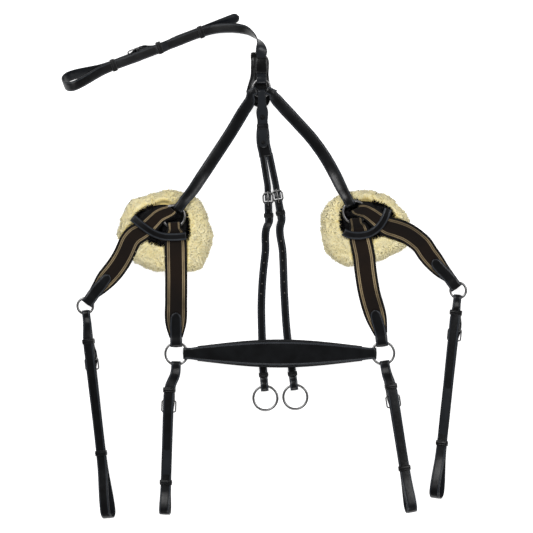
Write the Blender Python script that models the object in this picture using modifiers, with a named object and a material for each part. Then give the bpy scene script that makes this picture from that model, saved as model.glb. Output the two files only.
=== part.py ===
"""Five-point breastplate with elastic, sheepskin ring pads and a running martingale attachment.

It lies flat on the ground. +Y points to the chest (girth) end and -Y to the withers end. Metres, +Z up.
A strap is a strip of quads along its middle line, given its thickness by Solidify. Route points are the
middle line of the leather or webbing, in metres, in plan (x, y) with a height z.
"""

import math

import bmesh
import bpy
from mathutils import Matrix, Vector

# Leather, webbing and metal
LEATHER = 0.0022
SHOULDER_LEATHER = 0.003
TAB_LEATHER = 0.002
WEBBING = 0.0018
KEEPER_LEATHER = 0.0014
LAYER = 0.0014
BUCKLE_WIRE = 0.0014
TONGUE_WIRE = 0.001
RING_WIRE = 0.002
SLACK = 0.0005
FOLD_GAP = 0.0007

# Ring radii, to the middle of the wire
BIG_RING = 0.020
CHEST_RING = 0.0155
GIRTH_RING = 0.0141
MARTINGALE_RING = 0.0216

# Half widths
STRAP_HALF = 0.0095
BELLY_HALF = 0.0105
SHOULDER_HALF = 0.011
NECK_ELASTIC_HALF = 0.020
GIRTH_ELASTIC_HALF = 0.019
CROSS_HALF = 0.0065
MARTINGALE_HALF = 0.007
TAIL_HALF = 0.006
FOLD_HALF = 0.008

# Heights of what the straps run to
PAD_TOP = 0.018
CHEST_RING_Z = 0.0142
SHOULDER_RING_Z = 0.027
WITHERS_RING_Z = 0.0125
GIRTH_RING_Z = 0.015
MARTINGALE_RING_Z = 0.0065

# The origin is the middle of the outline on the ground: this moves the whole layout there
SHIFT = Vector((-0.00026, 0.00087, 0.0))

CHEST_RING_AT = Vector((-0.005, 0.319, CHEST_RING_Z))
SHOULDER_RING_AT = {
    "left": Vector((-0.163, 0.088, SHOULDER_RING_Z)),
    "right": Vector((0.162, 0.096, SHOULDER_RING_Z)),
}
WITHERS_RING_AT = {
    "left": Vector((-0.158, -0.159, WITHERS_RING_Z)),
    "right": Vector((0.214, -0.158, WITHERS_RING_Z)),
}
GIRTH_RING_AT = {
    "left": Vector((-0.322, -0.073, GIRTH_RING_Z)),
    "right": Vector((0.349, -0.045, GIRTH_RING_Z)),
}
MARTINGALE_RING_AT = {
    "left": Vector((0.002, -0.239, MARTINGALE_RING_Z)),
    "right": Vector((0.056, -0.237, MARTINGALE_RING_Z)),
}
SIDES = ("left", "right")


def clear_scene():
    for obj in list(bpy.data.objects):
        bpy.data.objects.remove(obj, do_unlink=True)


def collection(name):
    made = bpy.data.collections.new(name)
    bpy.context.scene.collection.children.link(made)
    return made


def material(name, colour, roughness, metallic=0.0):
    made = bpy.data.materials.new(name)
    made.use_nodes = True
    shader = made.node_tree.nodes["Principled BSDF"]
    shader.inputs["Base Color"].default_value = (*colour, 1.0)
    shader.inputs["Roughness"].default_value = roughness
    shader.inputs["Metallic"].default_value = metallic
    made.diffuse_color = (*colour, 1.0)
    return made


clear_scene()
PARTS = collection("breastplate")
CUTTERS = collection("cutters")
CUTTERS.hide_render = True

BLACK_LEATHER = ((0.012, 0.012, 0.014), 0.45, 0.0)
LINING_LEATHER = ((0.016, 0.015, 0.015), 0.6, 0.0)
ELASTIC = ((0.045, 0.026, 0.012), 0.85, 0.0)
SHEEPSKIN = ((0.80, 0.72, 0.48), 0.95, 0.0)
NICKEL = ((0.72, 0.71, 0.69), 0.2, 1.0)


def place(obj, frame, finish, where=PARTS):
    """Put the object in its collection, at its frame, with a material of its own."""
    for old in list(obj.users_collection):
        old.objects.unlink(obj)
    where.objects.link(obj)
    moved = frame.copy()
    moved.translation = frame.translation + SHIFT
    obj.matrix_world = moved
    if finish:
        obj.data.materials.clear()
        obj.data.materials.append(material(obj.name, *finish))
    return obj


def heading_frame(at, direction, pitch=0.0):
    """A frame at a point: Y along the direction, Z up, X across."""
    along = Vector((direction[0], direction[1], 0.0)).normalized()
    along = (along * math.cos(pitch) + Vector((0, 0, math.sin(pitch)))).normalized()
    across = along.cross(Vector((0, 0, 1))).normalized()
    up = across.cross(along)
    turn = Matrix((across, along, up)).transposed()
    return Matrix.Translation(at) @ turn.to_4x4()


def compass(degrees):
    angle = math.radians(degrees)
    return Vector((math.cos(angle), math.sin(angle), 0.0))


def smooth(t):
    t = min(max(t, 0.0), 1.0)
    return t * t * (3 - 2 * t)


def arc(s, n, radius, start, end, steps):
    """Points of an arc in the (along, off) plane of a strap, angles in degrees from +along to +off."""
    angles = [math.radians(start + (end - start) * i / steps) for i in range(steps + 1)]
    return [(s + radius * math.cos(a), n + radius * math.sin(a)) for a in angles]


def sag(half, ring_radius):
    """How far a ring's wire curves away over a strap's half width."""
    return ring_radius - math.sqrt(ring_radius**2 - half**2)


def strap(name, stations, thickness, finish, frame=None, where=PARTS):
    """A strap from stations (middle, half of its width as a vector), both in the world."""
    frame = frame or Matrix.Translation(stations[0][0])
    back = frame.inverted()
    mesh = bpy.data.meshes.new(name)
    shape = bmesh.new()
    rows = []
    for middle, half in stations:
        rows.append([shape.verts.new(back @ (middle + half * k)) for k in (-1, 1)])
    for one, two in zip(rows, rows[1:]):
        shape.faces.new((one[0], one[1], two[1], two[0]))
    shape.to_mesh(mesh)
    shape.free()
    obj = bpy.data.objects.new(name, mesh)
    add_thickness(obj, thickness)
    return place(obj, frame, finish, where)


def add_thickness(obj, thickness):
    solid = obj.modifiers.new("thickness", "SOLIDIFY")
    solid.thickness = thickness
    solid.offset = 0.0
    solid.use_even_offset = True


def section_stations(frame, points, half, twist=None, sway=None):
    """World stations of a middle line given as (along, off) or (along, off, half width) in a frame."""
    stations = []
    for point in points:
        s, n = point[:2]
        width = point[2] if len(point) > 2 else half
        angle = twist(s) if twist else 0.0
        turn = Matrix.Rotation(angle, 3, "Y")
        aside = Vector((sway(s) if sway else 0.0, s, 0.0))
        middle = aside + turn @ Vector((0, 0, n))
        across = turn @ Vector((width, 0, 0))
        stations.append((frame @ middle, frame.to_3x3() @ across))
    return stations


def fold_points(radius, shift, half, lead, layer, stub, steps=8):
    """(along, off, half) from the end of the stub under the wire, round it, to the upper layer."""
    under = [(stub, -layer, half), (lead, -layer, half), (lead * 0.3, -radius, half)]
    bend = [(s, n, half) for s, n in arc(-shift, 0, radius, -90, -270, steps)]
    over = [(lead * 0.3, radius, half)]
    return under + bend + over


def ring(name, at, radius, wire, frame=None):
    bpy.ops.mesh.primitive_torus_add(
        major_segments=26, minor_segments=6, major_radius=radius, minor_radius=wire
    )
    obj = bpy.context.object
    obj.name = name
    obj.data.name = name
    obj.data.shade_smooth()
    return place(obj, frame or Matrix.Translation(at), NICKEL)


def wire(name, points, radius, finish, frame, cyclic=False):
    """A bent wire through points given in the frame's own coordinates."""
    data = bpy.data.curves.new(name, "CURVE")
    data.dimensions = "3D"
    data.bevel_depth = radius
    data.bevel_resolution = 1
    data.use_fill_caps = not cyclic
    line = data.splines.new("POLY")
    line.points.add(len(points) - 1)
    for spot, point in zip(line.points, points):
        spot.co = (*point, 1.0)
    line.use_cyclic_u = cyclic
    obj = bpy.data.objects.new(name, data)
    return place(obj, frame, finish)


def rounded_rectangle(half_x, low_y, high_y, corner, steps=3):
    """Outline points, counter-clockwise."""
    points = []
    middles = ((1, 1, 0), (-1, 1, 90), (-1, -1, 180), (1, -1, 270))
    for x_sign, y_sign, start in middles:
        cx = x_sign * (half_x - corner)
        cy = high_y - corner if y_sign > 0 else low_y + corner
        for i in range(steps + 1):
            a = math.radians(start + 90 * i / steps)
            points.append((cx + corner * math.cos(a), cy + corner * math.sin(a)))
    return points


def outline_solid(name, points, low, high, edge, finish, rounds=1):
    """A flat piece from its outline, with a rounded edge, between two heights."""
    data = bpy.data.curves.new(name, "CURVE")
    data.dimensions = "2D"
    data.fill_mode = "BOTH"
    data.resolution_u = 3
    data.extrude = (high - low) / 2 - edge
    data.bevel_depth = edge
    data.bevel_resolution = rounds
    data.offset = -edge
    line = data.splines.new("BEZIER")
    line.bezier_points.add(len(points) - 1)
    for spot, (x, y) in zip(line.bezier_points, points):
        spot.co = (x, y, 0.0)
        spot.handle_left_type = "AUTO"
        spot.handle_right_type = "AUTO"
    line.use_cyclic_u = True
    obj = bpy.data.objects.new(name, data)
    return place(obj, Matrix.Translation((0, 0, (low + high) / 2)), finish)


def keeper(name, frame, half, low, high, length):
    """A flat leather loop round a strap's layers. The frame's Y runs along the strap."""
    middle = KEEPER_LEATHER / 2 + 0.0004
    outline = rounded_rectangle(half + middle, low - middle, high + middle, 0.0012, 2)
    mesh = bpy.data.meshes.new(name)
    shape = bmesh.new()
    rows = []
    for x, z in outline:
        rows.append([shape.verts.new((x, y, z)) for y in (-length / 2, length / 2)])
    for one, two in zip(rows, rows[1:] + rows[:1]):
        shape.faces.new((one[0], one[1], two[1], two[0]))
    shape.to_mesh(mesh)
    shape.free()
    obj = bpy.data.objects.new(name, mesh)
    add_thickness(obj, KEEPER_LEATHER)
    return place(obj, frame, BLACK_LEATHER)


def box_cutter(name, frame, low, high):
    bpy.ops.mesh.primitive_cube_add(size=1.0)
    obj = bpy.context.object
    obj.name = name
    size = Vector(high) - Vector(low)
    middle = (Vector(high) + Vector(low)) / 2
    obj.data.transform(Matrix.Translation(middle) @ Matrix.Diagonal((*size, 1.0)))
    obj.hide_render = True
    obj.display_type = "WIRE"
    return place(obj, frame, None, CUTTERS)


def cut(obj, cutter):
    slot = obj.modifiers.new("slot", "BOOLEAN")
    slot.operation = "DIFFERENCE"
    slot.solver = "EXACT"
    slot.object = cutter


# ---------------------------------------------------------------- buckles

BUCKLE_LENGTH = 0.020
BAR_OFF = 0.0044
BAR_FOLD = 0.003
TAIL_OVER_BAR = 0.0101
TONGUE_TURN = TONGUE_WIRE + BUCKLE_WIRE + 0.00035


def buckle(prefix, suffix, frame, half, length=BUCKLE_LENGTH):
    """Frame and tongue of a strap buckle. The frame's origin is on the bar, its Y runs to the far side."""
    side = half + 0.0032
    outline = [(x, y, 0.0) for x, y in rounded_rectangle(side, 0.0, length, 0.003)]
    wire(f"{prefix}_buckle{suffix}", outline, BUCKLE_WIRE, NICKEL, frame, cyclic=True)
    bend = arc(0, 0, TONGUE_TURN, 60, 270, 7)
    points = [(0.0, s, n) for s, n in bend]
    points += [(0.0, length * k, -TONGUE_TURN) for k in (0.4, 0.75, 1.08)]
    wire(f"{prefix}_tongue{suffix}", points, TONGUE_WIRE, NICKEL, frame)


def chape_points(bar, half):
    """The leather from beside the ring to the buckle bar, round it, and its short sewn end."""
    n = -LAYER
    turn = arc(bar, n - BAR_FOLD, BAR_FOLD, 90, -90, 8)
    end = (bar - 0.0095, n - BAR_FOLD - 0.0009)
    return [(s, off, half) for s, off in turn] + [(*end, half)]


def tail_points(bar, end, half, length=BUCKLE_LENGTH):
    """The strap's punched end: over the buckle bar, under its far side."""
    path = [
        (end, -LAYER * 3 - 0.0004),
        (bar - 0.020, -LAYER * 3 - 0.0008),
        (bar - 0.012, -TAIL_OVER_BAR + 0.0006),
        (bar - 0.009, -TAIL_OVER_BAR),
        (bar + 0.003, -TAIL_OVER_BAR),
        (bar + length * 0.42, -0.0072),
        (bar + length * 0.70, -0.0032),
        (bar + length * 0.86, -0.0018),
        (bar + length, -LAYER),
        (bar + length + 0.008, -LAYER),
    ]
    return [(s, n, half) for s, n in path]


def loop_points(start, end, height, half, steps=8):
    """The open loop at a strap's end, from its back layer round to its front layer."""
    middle = end - height
    rises = [start + (middle - start) * i / 5 for i in range(6)]
    off = [LAYER + (height - LAYER) * smooth(i / 5) for i in range(6)]
    back = [(s, -n, half) for s, n in zip(rises, off)]
    bend = [(s, n, half) for s, n in arc(middle, 0, height, -90, 90, steps)]
    front = [(s, n, half) for s, n in zip(reversed(rises), reversed(off))]
    return back[:-1] + bend + front[1:]


# ------------------------------------------- saddle straps and billet straps

HANGING = {
    "saddle_left": dict(
        ring=WITHERS_RING_AT["left"], radius=BIG_RING, heading=-91.8, roll=10, pitch=0.8,
        aside=-0.0116, bar=0.065, tail=0.030, runner=0.212, loop=0.222, end=0.269, height=0.0085,
    ),
    "saddle_right": dict(
        ring=WITHERS_RING_AT["right"], radius=BIG_RING, heading=-81.0, roll=-12, pitch=0.8,
        aside=0.0054, bar=0.0585, tail=0.024, runner=0.190, loop=0.200, end=0.270, height=0.011,
    ),
    "billet_left": dict(
        ring=GIRTH_RING_AT["left"], radius=GIRTH_RING, heading=-83.4, roll=22, pitch=0.5,
        aside=-0.002, bar=0.081, tail=0.044, runner=0.252, loop=0.264, end=0.369, height=0.0125,
    ),
    "billet_right": dict(
        ring=GIRTH_RING_AT["right"], radius=GIRTH_RING, heading=-96.1, roll=24, pitch=0.5,
        aside=0.0, bar=0.056, tail=0.018, runner=0.262, loop=0.274, end=0.361, height=0.0125,
    ),
}


def hanging_strap(name, ring, radius, heading, roll, pitch, aside, bar, tail, runner, loop, end, height):
    """A doubled strap that hangs on a ring: chape, ring fold, face, end loop and punched tail in one."""
    prefix, side = name.split("_")
    direction = compass(heading)
    across = direction.cross(Vector((0, 0, 1)))
    fold_at = ring + direction * radius
    frame = heading_frame(fold_at - across * aside, direction, math.radians(pitch))
    fold_half = min(FOLD_HALF, radius * 0.5)
    fold = RING_WIRE + sag(fold_half, radius) + FOLD_GAP + LEATHER / 2
    turned = math.radians(roll)

    def twist(s):
        return turned * smooth((s - 0.010) / 0.034)

    def sway(s):
        return aside * (1 - smooth((s - 0.008) / 0.044))

    half = STRAP_HALF
    points = tail_points(bar, tail, half)
    points += loop_points(loop, end, height, half)
    points += [(bar + BUCKLE_LENGTH, LAYER, half), (bar, LAYER, half), (bar * 0.62, LAYER, half)]
    points += [(0.016, LAYER + 0.0004, fold_half + 0.0005), (0.004, fold, fold_half)]
    points += [(s, n, fold_half) for s, n in arc(0, 0, fold, 90, 270, 8)]
    points += [(0.004, -fold, fold_half), (0.016, -LAYER - 0.0004, fold_half + 0.0005)]
    points += [(bar * 0.62, -LAYER, half)]
    points += chape_points(bar, half)
    body = strap(
        f"{prefix}_strap_{side}",
        section_stations(frame, points, half, twist, sway),
        LEATHER,
        BLACK_LEATHER,
        frame,
    )
    rolled = Matrix.Rotation(turned, 4, "Y")
    bar_frame = frame @ rolled @ Matrix.Translation((0, bar, -BAR_OFF))
    bar_frame.translation = frame @ (Vector((0, bar, 0)) + rolled.to_3x3() @ Vector((0, 0, -BAR_OFF)))
    buckle_parts(prefix, side, bar_frame, half, body)
    runner_frame = frame @ Matrix.Translation((0, runner, 0)) @ rolled
    reach = LAYER + LEATHER / 2
    keeper(f"{prefix}_runner_{side}", runner_frame, half, -reach, reach, 0.009)


def buckle_parts(prefix, side, bar_frame, half, body):
    """Buckle, tongue and the slots for the tongue in the fold and the tail."""
    buckle(prefix, f"_{side}", bar_frame, half)
    cutter = box_cutter(
        f"{prefix}_{side}_tongue_slot",
        bar_frame,
        (-0.0022, -0.006, -0.0085),
        (0.0022, 0.0160, BAR_OFF - 0.0001),
    )
    cut(body, cutter)


for strap_name, sizes in HANGING.items():
    hanging_strap(strap_name, **sizes)


# ---------------------------------------------------------------- rings

ring("chest_ring", CHEST_RING_AT, CHEST_RING, RING_WIRE)
for side in SIDES:
    ring(f"shoulder_ring_{side}", SHOULDER_RING_AT[side], BIG_RING, RING_WIRE)
    ring(f"withers_ring_{side}", WITHERS_RING_AT[side], BIG_RING, RING_WIRE)
    ring(f"girth_ring_{side}", GIRTH_RING_AT[side], GIRTH_RING, RING_WIRE)


# ---------------------------------------------------------------- chest pad

CHEST_PAD_HEIGHT = 0.0062
CHEST_PAD_OUTLINE = (
    (-0.022, 0.384), (0.006, 0.375), (0.008, 0.341), (0.011, 0.320), (0.011, 0.300),
    (0.004, 0.287), (-0.014, 0.286), (-0.028, 0.298), (-0.032, 0.314), (-0.025, 0.341),
    (-0.024, 0.366),
)
outline_solid("chest_pad", CHEST_PAD_OUTLINE, 0.0003, CHEST_PAD_HEIGHT, 0.002, BLACK_LEATHER)

BELLY_END_HALF = 0.0085
BELLY_FOLD_AT = CHEST_RING_AT + compass(90) * CHEST_RING
BELLY_EXIT = Vector((-0.005, 0.3755, 0.0129))
BELLY_UNDER_Z = 0.0101


def belly_end():
    """The end of the belly strap: folded round the chest ring, held flat under the sleeve."""
    frame = heading_frame(BELLY_FOLD_AT, (0, 1))
    radius = RING_WIRE + SLACK + LEATHER / 2
    half = BELLY_END_HALF
    shift = sag(half, CHEST_RING) + SLACK
    low = BELLY_UNDER_Z - CHEST_RING_Z
    high = BELLY_EXIT.z - CHEST_RING_Z
    length = BELLY_EXIT.y - BELLY_FOLD_AT.y - 0.0003
    points = [(length - 0.004, low, half), (0.010, low, half), (0.003, -radius, half)]
    points += [(s, n, half) for s, n in arc(-shift, 0, radius, -90, -270, 8)]
    points += [(0.003, radius, half), (0.010, high, half), (length, high, half)]
    strap("belly_strap_end", section_stations(frame, points, half), LEATHER, BLACK_LEATHER, frame)


belly_end()
SLEEVE_LENGTH = 0.028
sleeve_frame = heading_frame(Vector((-0.005, 0.3600, 0.0)), (0, 1))
keeper(
    "chest_pad_sleeve", sleeve_frame, BELLY_END_HALF, BELLY_UNDER_Z - LEATHER / 2, BELLY_EXIT.z + LEATHER / 2, SLEEVE_LENGTH
)


# ---------------------------------------------------------------- shoulders

SHOULDER_ROUTE = {
    "left": (
        (-0.026, 0.296, 0.0145), (-0.037, 0.278, 0.011), (-0.058, 0.243, 0.006),
        (-0.088, 0.197, 0.004), (-0.113, 0.159, 0.009), (-0.128, 0.136, 0.019),
    ),
    "right": (
        (0.019, 0.302, 0.0145), (0.032, 0.287, 0.011), (0.059, 0.258, 0.006),
        (0.086, 0.228, 0.004), (0.109, 0.196, 0.004), (0.128, 0.162, 0.009), (0.138, 0.141, 0.019),
    ),
}
CHEST_SIDE = {"left": -156, "right": -22}
SHOULDER_SIDE = {"left": 57, "right": 118}


def plan_stations(route, halves):
    """Stations of a flat strap along a route: its width lies level, square to its heading."""
    stations = []
    spots = [Vector(spot) for spot in route]
    for i, spot in enumerate(spots):
        before = spots[max(i - 1, 0)]
        after = spots[min(i + 1, len(spots) - 1)]
        heading = after - before
        across = Vector((heading.y, -heading.x, 0.0)).normalized()
        stations.append((spot, across * halves[i]))
    return stations


def ring_end(at, ring_radius, direction, half, thickness, stub, layer, lead=0.012):
    """Stations of a strap's end round a ring wire, from the stub under it to the face over it."""
    frame = heading_frame(at + direction * ring_radius, direction)
    radius = RING_WIRE + SLACK + thickness / 2
    shift = sag(half, ring_radius) + SLACK
    points = fold_points(radius, shift, half, lead, layer, stub)
    return section_stations(frame, points, half)


def reverse(stations):
    return [(middle, -half) for middle, half in reversed(stations)]


def shoulder_strap(side):
    route = SHOULDER_ROUTE[side]
    halves = [0.0085] + [SHOULDER_HALF] * (len(route) - 2) + [0.0095]
    layer = RING_WIRE + SLACK + SHOULDER_LEATHER / 2
    chest = ring_end(
        CHEST_RING_AT, CHEST_RING, compass(CHEST_SIDE[side]), 0.0055, SHOULDER_LEATHER, 0.008, layer
    )
    shoulder = ring_end(
        SHOULDER_RING_AT[side], BIG_RING, compass(SHOULDER_SIDE[side]), 0.007, SHOULDER_LEATHER, 0.008, layer
    )
    stations = chest + plan_stations(route, halves) + reverse(shoulder)
    strap(f"shoulder_strap_{side}", stations, SHOULDER_LEATHER, BLACK_LEATHER, Matrix())


for side in SIDES:
    shoulder_strap(side)

FLEECE_OUTLINE = {
    "left": (
        (-0.165, 0.134), (-0.119, 0.117), (-0.098, 0.070), (-0.096, 0.037), (-0.117, -0.005),
        (-0.150, -0.010), (-0.184, -0.010), (-0.228, 0.004), (-0.259, 0.040), (-0.262, 0.063),
        (-0.245, 0.109), (-0.215, 0.124),
    ),
    "right": (
        (0.176, 0.134), (0.196, 0.132), (0.222, 0.124), (0.241, 0.106), (0.261, 0.078),
        (0.257, 0.037), (0.204, 0.009), (0.158, -0.001), (0.115, 0.021), (0.104, 0.063),
        (0.106, 0.095), (0.133, 0.125),
    ),
}
BACKING_OUTLINE = {
    "left": (
        (-0.236, 0.086), (-0.220, 0.102), (-0.188, 0.113), (-0.152, 0.108), (-0.137, 0.091),
        (-0.133, 0.053), (-0.148, 0.036), (-0.188, 0.035), (-0.226, 0.053),
    ),
    "right": (
        (0.136, 0.093), (0.144, 0.109), (0.160, 0.118), (0.190, 0.118), (0.223, 0.107),
        (0.236, 0.088), (0.219, 0.058), (0.194, 0.047), (0.154, 0.050), (0.137, 0.064),
    ),
}
for side in SIDES:
    outline_solid(f"fleece_pad_{side}", FLEECE_OUTLINE[side], 0.0, PAD_TOP, 0.007, SHEEPSKIN)
    outline_solid(
        f"pad_backing_{side}", BACKING_OUTLINE[side], PAD_TOP + 0.0003, PAD_TOP + 0.0023, 0.0, BLACK_LEATHER
    )

NECK_SIDE = {"left": -86, "right": -80}
NECK_ROUTE = {
    "left": (
        (-0.1606, 0.061, 0.0245), (-0.1601, 0.056, 0.0228), (-0.1596, 0.046, 0.0220), (-0.1588, 0.010, 0.0208),
        (-0.1584, -0.014, 0.0192), (-0.1586, -0.062, 0.0145), (-0.1591, -0.108, 0.0126), (-0.1588, -0.130, 0.0124),
    ),
    "right": (
        (0.1685, 0.069, 0.0245), (0.170, 0.063, 0.0228), (0.175, 0.050, 0.0220), (0.181, 0.010, 0.0208),
        (0.183, -0.012, 0.0192), (0.190, -0.048, 0.0145), (0.205, -0.100, 0.0125), (0.210, -0.124, 0.0125),
    ),
}
GIRTH_SIDE = {"left": 175, "right": -6}
GIRTH_ROUTE = {
    "left": (
        (-0.193, 0.0885, 0.0255), (-0.199, 0.086, 0.0240), (-0.209, 0.079, 0.0228), (-0.233, 0.057, 0.0216),
        (-0.250, 0.032, 0.0195), (-0.270, -0.001, 0.0175), (-0.293, -0.032, 0.0155), (-0.3055, -0.0495, 0.015),
    ),
    "right": (
        (0.192, 0.0925, 0.0255), (0.198, 0.090, 0.0240), (0.210, 0.082, 0.0228), (0.236, 0.067, 0.0216),
        (0.262, 0.053, 0.0195), (0.288, 0.029, 0.0170), (0.314, 0.001, 0.0155), (0.332, -0.0205, 0.015),
    ),
}


def elastic(name, ring_at, direction, route, half, end_half):
    halves = [0.0105, 0.0135, half * 0.93, half, half, half, half * 0.92, end_half]
    layer = RING_WIRE + SLACK + WEBBING / 2
    start = ring_end(ring_at, BIG_RING, direction, 0.0090, WEBBING, 0.012, layer, 0.006)
    strap(name, start + plan_stations(route, halves), WEBBING, ELASTIC, Matrix())


for side in SIDES:
    at = SHOULDER_RING_AT[side]
    elastic(f"neck_elastic_{side}", at, compass(NECK_SIDE[side]), NECK_ROUTE[side], NECK_ELASTIC_HALF, 0.012)
    elastic(f"girth_elastic_{side}", at, compass(GIRTH_SIDE[side]), GIRTH_ROUTE[side], GIRTH_ELASTIC_HALF, 0.011)

TAB_HALF = 0.0085
TAB_OFF = WEBBING / 2 + 0.0004 + TAB_LEATHER / 2


def elastic_tab(name, ring_at, ring_radius, route, over, under):
    """Leather tab folded round a ring and sewn to both faces of the elastic's end."""
    end = Vector(route[-1])
    direction = Vector((end.x - ring_at.x, end.y - ring_at.y, 0)).normalized()
    frame = heading_frame(ring_at + direction * ring_radius, direction)
    radius = RING_WIRE + SLACK + TAB_LEATHER / 2
    shift = sag(TAB_HALF, ring_radius) + SLACK
    points = [(under, -TAB_OFF - 0.0002), (0.010, -TAB_OFF), (0.003, -radius)]
    points += arc(-shift, 0, radius, -90, -270, 8)
    points += [(0.003, radius), (0.010, TAB_OFF)]
    stations = section_stations(frame, points, TAB_HALF)
    spots = [Vector(spot) for spot in reversed(route)]
    travelled = 0.0
    path = []
    for one, two in zip(spots, spots[1:]):
        travelled += (two - one).length
        if travelled > over:
            path.append(one.lerp(two, 1 - (travelled - over) / (two - one).length))
            break
        path.append(two)
    lifted = [tuple(spot + Vector((0, 0, TAB_OFF + 0.0003))) for spot in path]
    halves = [TAB_HALF - 0.001] * (len(lifted) - 1) + [0.004]
    strap(name, stations + plan_stations(lifted, halves), TAB_LEATHER, BLACK_LEATHER, Matrix())


for side in SIDES:
    elastic_tab(f"neck_tab_{side}", WITHERS_RING_AT[side], BIG_RING, NECK_ROUTE[side], 0.045, 0.028)
    elastic_tab(f"girth_tab_{side}", GIRTH_RING_AT[side], GIRTH_RING, GIRTH_ROUTE[side], 0.042, 0.026)

CROSS_ROUTE = {
    "left": (
        (-0.240, 0.0895, 0.0222), (-0.234, 0.084, 0.0260), (-0.218, 0.069, 0.0268), (-0.200, 0.058, 0.0255),
        (-0.184, 0.0525, 0.0268), (-0.160, 0.051, 0.0268), (-0.136, 0.0515, 0.0262), (-0.131, 0.052, 0.0222),
    ),
    "right": (
        (0.1425, 0.060, 0.0222), (0.148, 0.057, 0.0262), (0.170, 0.0535, 0.0268), (0.191, 0.058, 0.0262),
        (0.205, 0.068, 0.0262), (0.214, 0.080, 0.0268), (0.221, 0.096, 0.0262), (0.223, 0.102, 0.0222),
    ),
}
for side in SIDES:
    stations = plan_stations(CROSS_ROUTE[side], [CROSS_HALF] * len(CROSS_ROUTE[side]))
    strap(f"pad_cross_strap_{side}", stations, TAB_LEATHER, BLACK_LEATHER, Matrix())


# ---------------------------------------------------------------- withers strap

WITHERS_Y = -0.1585
WITHERS_LEFT = WITHERS_RING_AT["left"].x + BIG_RING
WITHERS_RIGHT = WITHERS_RING_AT["right"].x - BIG_RING
WITHERS_STEPS = 14
FACE_Z = (0.0170, 0.0185)
FACE_HALF = (0.0112, 0.0215)
PADDING = 0.006
PADDING_HALF = (0.0120, 0.0255)


def withers_value(x, ends, middle):
    """A value that swells from the strap's ends to its middle."""
    t = (x - WITHERS_LEFT) / (WITHERS_RIGHT - WITHERS_LEFT)
    return ends + (middle - ends) * math.sin(math.pi * min(max(t, 0), 1)) ** 1.2


def withers_strap():
    face = []
    inset = 0.020
    run = WITHERS_RIGHT - WITHERS_LEFT
    for i in range(WITHERS_STEPS + 1):
        x = WITHERS_LEFT + inset + (run - 2 * inset) * i / WITHERS_STEPS
        half = Vector((0, -withers_value(x, *FACE_HALF), 0))
        face.append((Vector((x, WITHERS_Y, withers_value(x, *FACE_Z))), half))
    layer = RING_WIRE + SLACK + LEATHER / 2
    ends = {}
    for side, angle in (("left", 0), ("right", 180)):
        at = WITHERS_RING_AT[side].copy()
        at.y = WITHERS_Y
        ends[side] = ring_end(at, BIG_RING, compass(angle), 0.0105, LEATHER, 0.011, layer, 0.009)
    stations = ends["left"] + face + reverse(ends["right"])
    strap("withers_strap_face", stations, LEATHER, BLACK_LEATHER, Matrix())
    below = LEATHER / 2 + 0.0004 + PADDING / 2
    padding = []
    for i in range(WITHERS_STEPS + 1):
        x = WITHERS_LEFT + inset - 0.002 + (run - 2 * inset + 0.004) * i / WITHERS_STEPS
        half = Vector((0, -withers_value(x, *PADDING_HALF), 0))
        padding.append((Vector((x, WITHERS_Y, withers_value(x, *FACE_Z) - below)), half))
    strap("withers_strap_padding", padding, PADDING, LINING_LEATHER, Matrix())


withers_strap()


# ---------------------------------------------------------------- belly strap

BELLY_START = Vector((-0.114, 0.420, 0.0130))
BELLY_HEADING = 200.9
BELLY_ROLL = math.radians(-38)
BELLY_PITCH = math.radians(2.5)
BELLY_BAR = 0.116
BELLY_END_S = 0.264
BELLY_LOOP = 0.178
BELLY_LOOP_HEIGHT = 0.0165
BELLY_RUNNER = 0.080
BELLY_LEAD = (
    # middle, then the direction of the strap's width
    ((-0.005, 0.3760, 0.0129), (-1.0, 0.0, 0.0)),
    ((-0.005, 0.3850, 0.0130), (-0.98, -0.05, 0.15)),
    ((-0.0065, 0.3950, 0.0125), (-0.75, -0.15, 0.64)),
    ((-0.0100, 0.4040, 0.0130), (-0.35, 0.05, 0.93)),
    ((-0.0180, 0.4130, 0.0130), (-0.05, 0.35, 0.93)),
    ((-0.0310, 0.4225, 0.0125), (-0.10, 0.68, 0.72)),
    ((-0.0500, 0.4270, 0.0122), (-0.05, 0.78, 0.62)),
    ((-0.0690, 0.4275, 0.0120), (-0.05, 0.79, 0.61)),
    ((-0.0900, 0.4255, 0.0120), (-0.15, 0.78, 0.61)),
)


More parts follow.
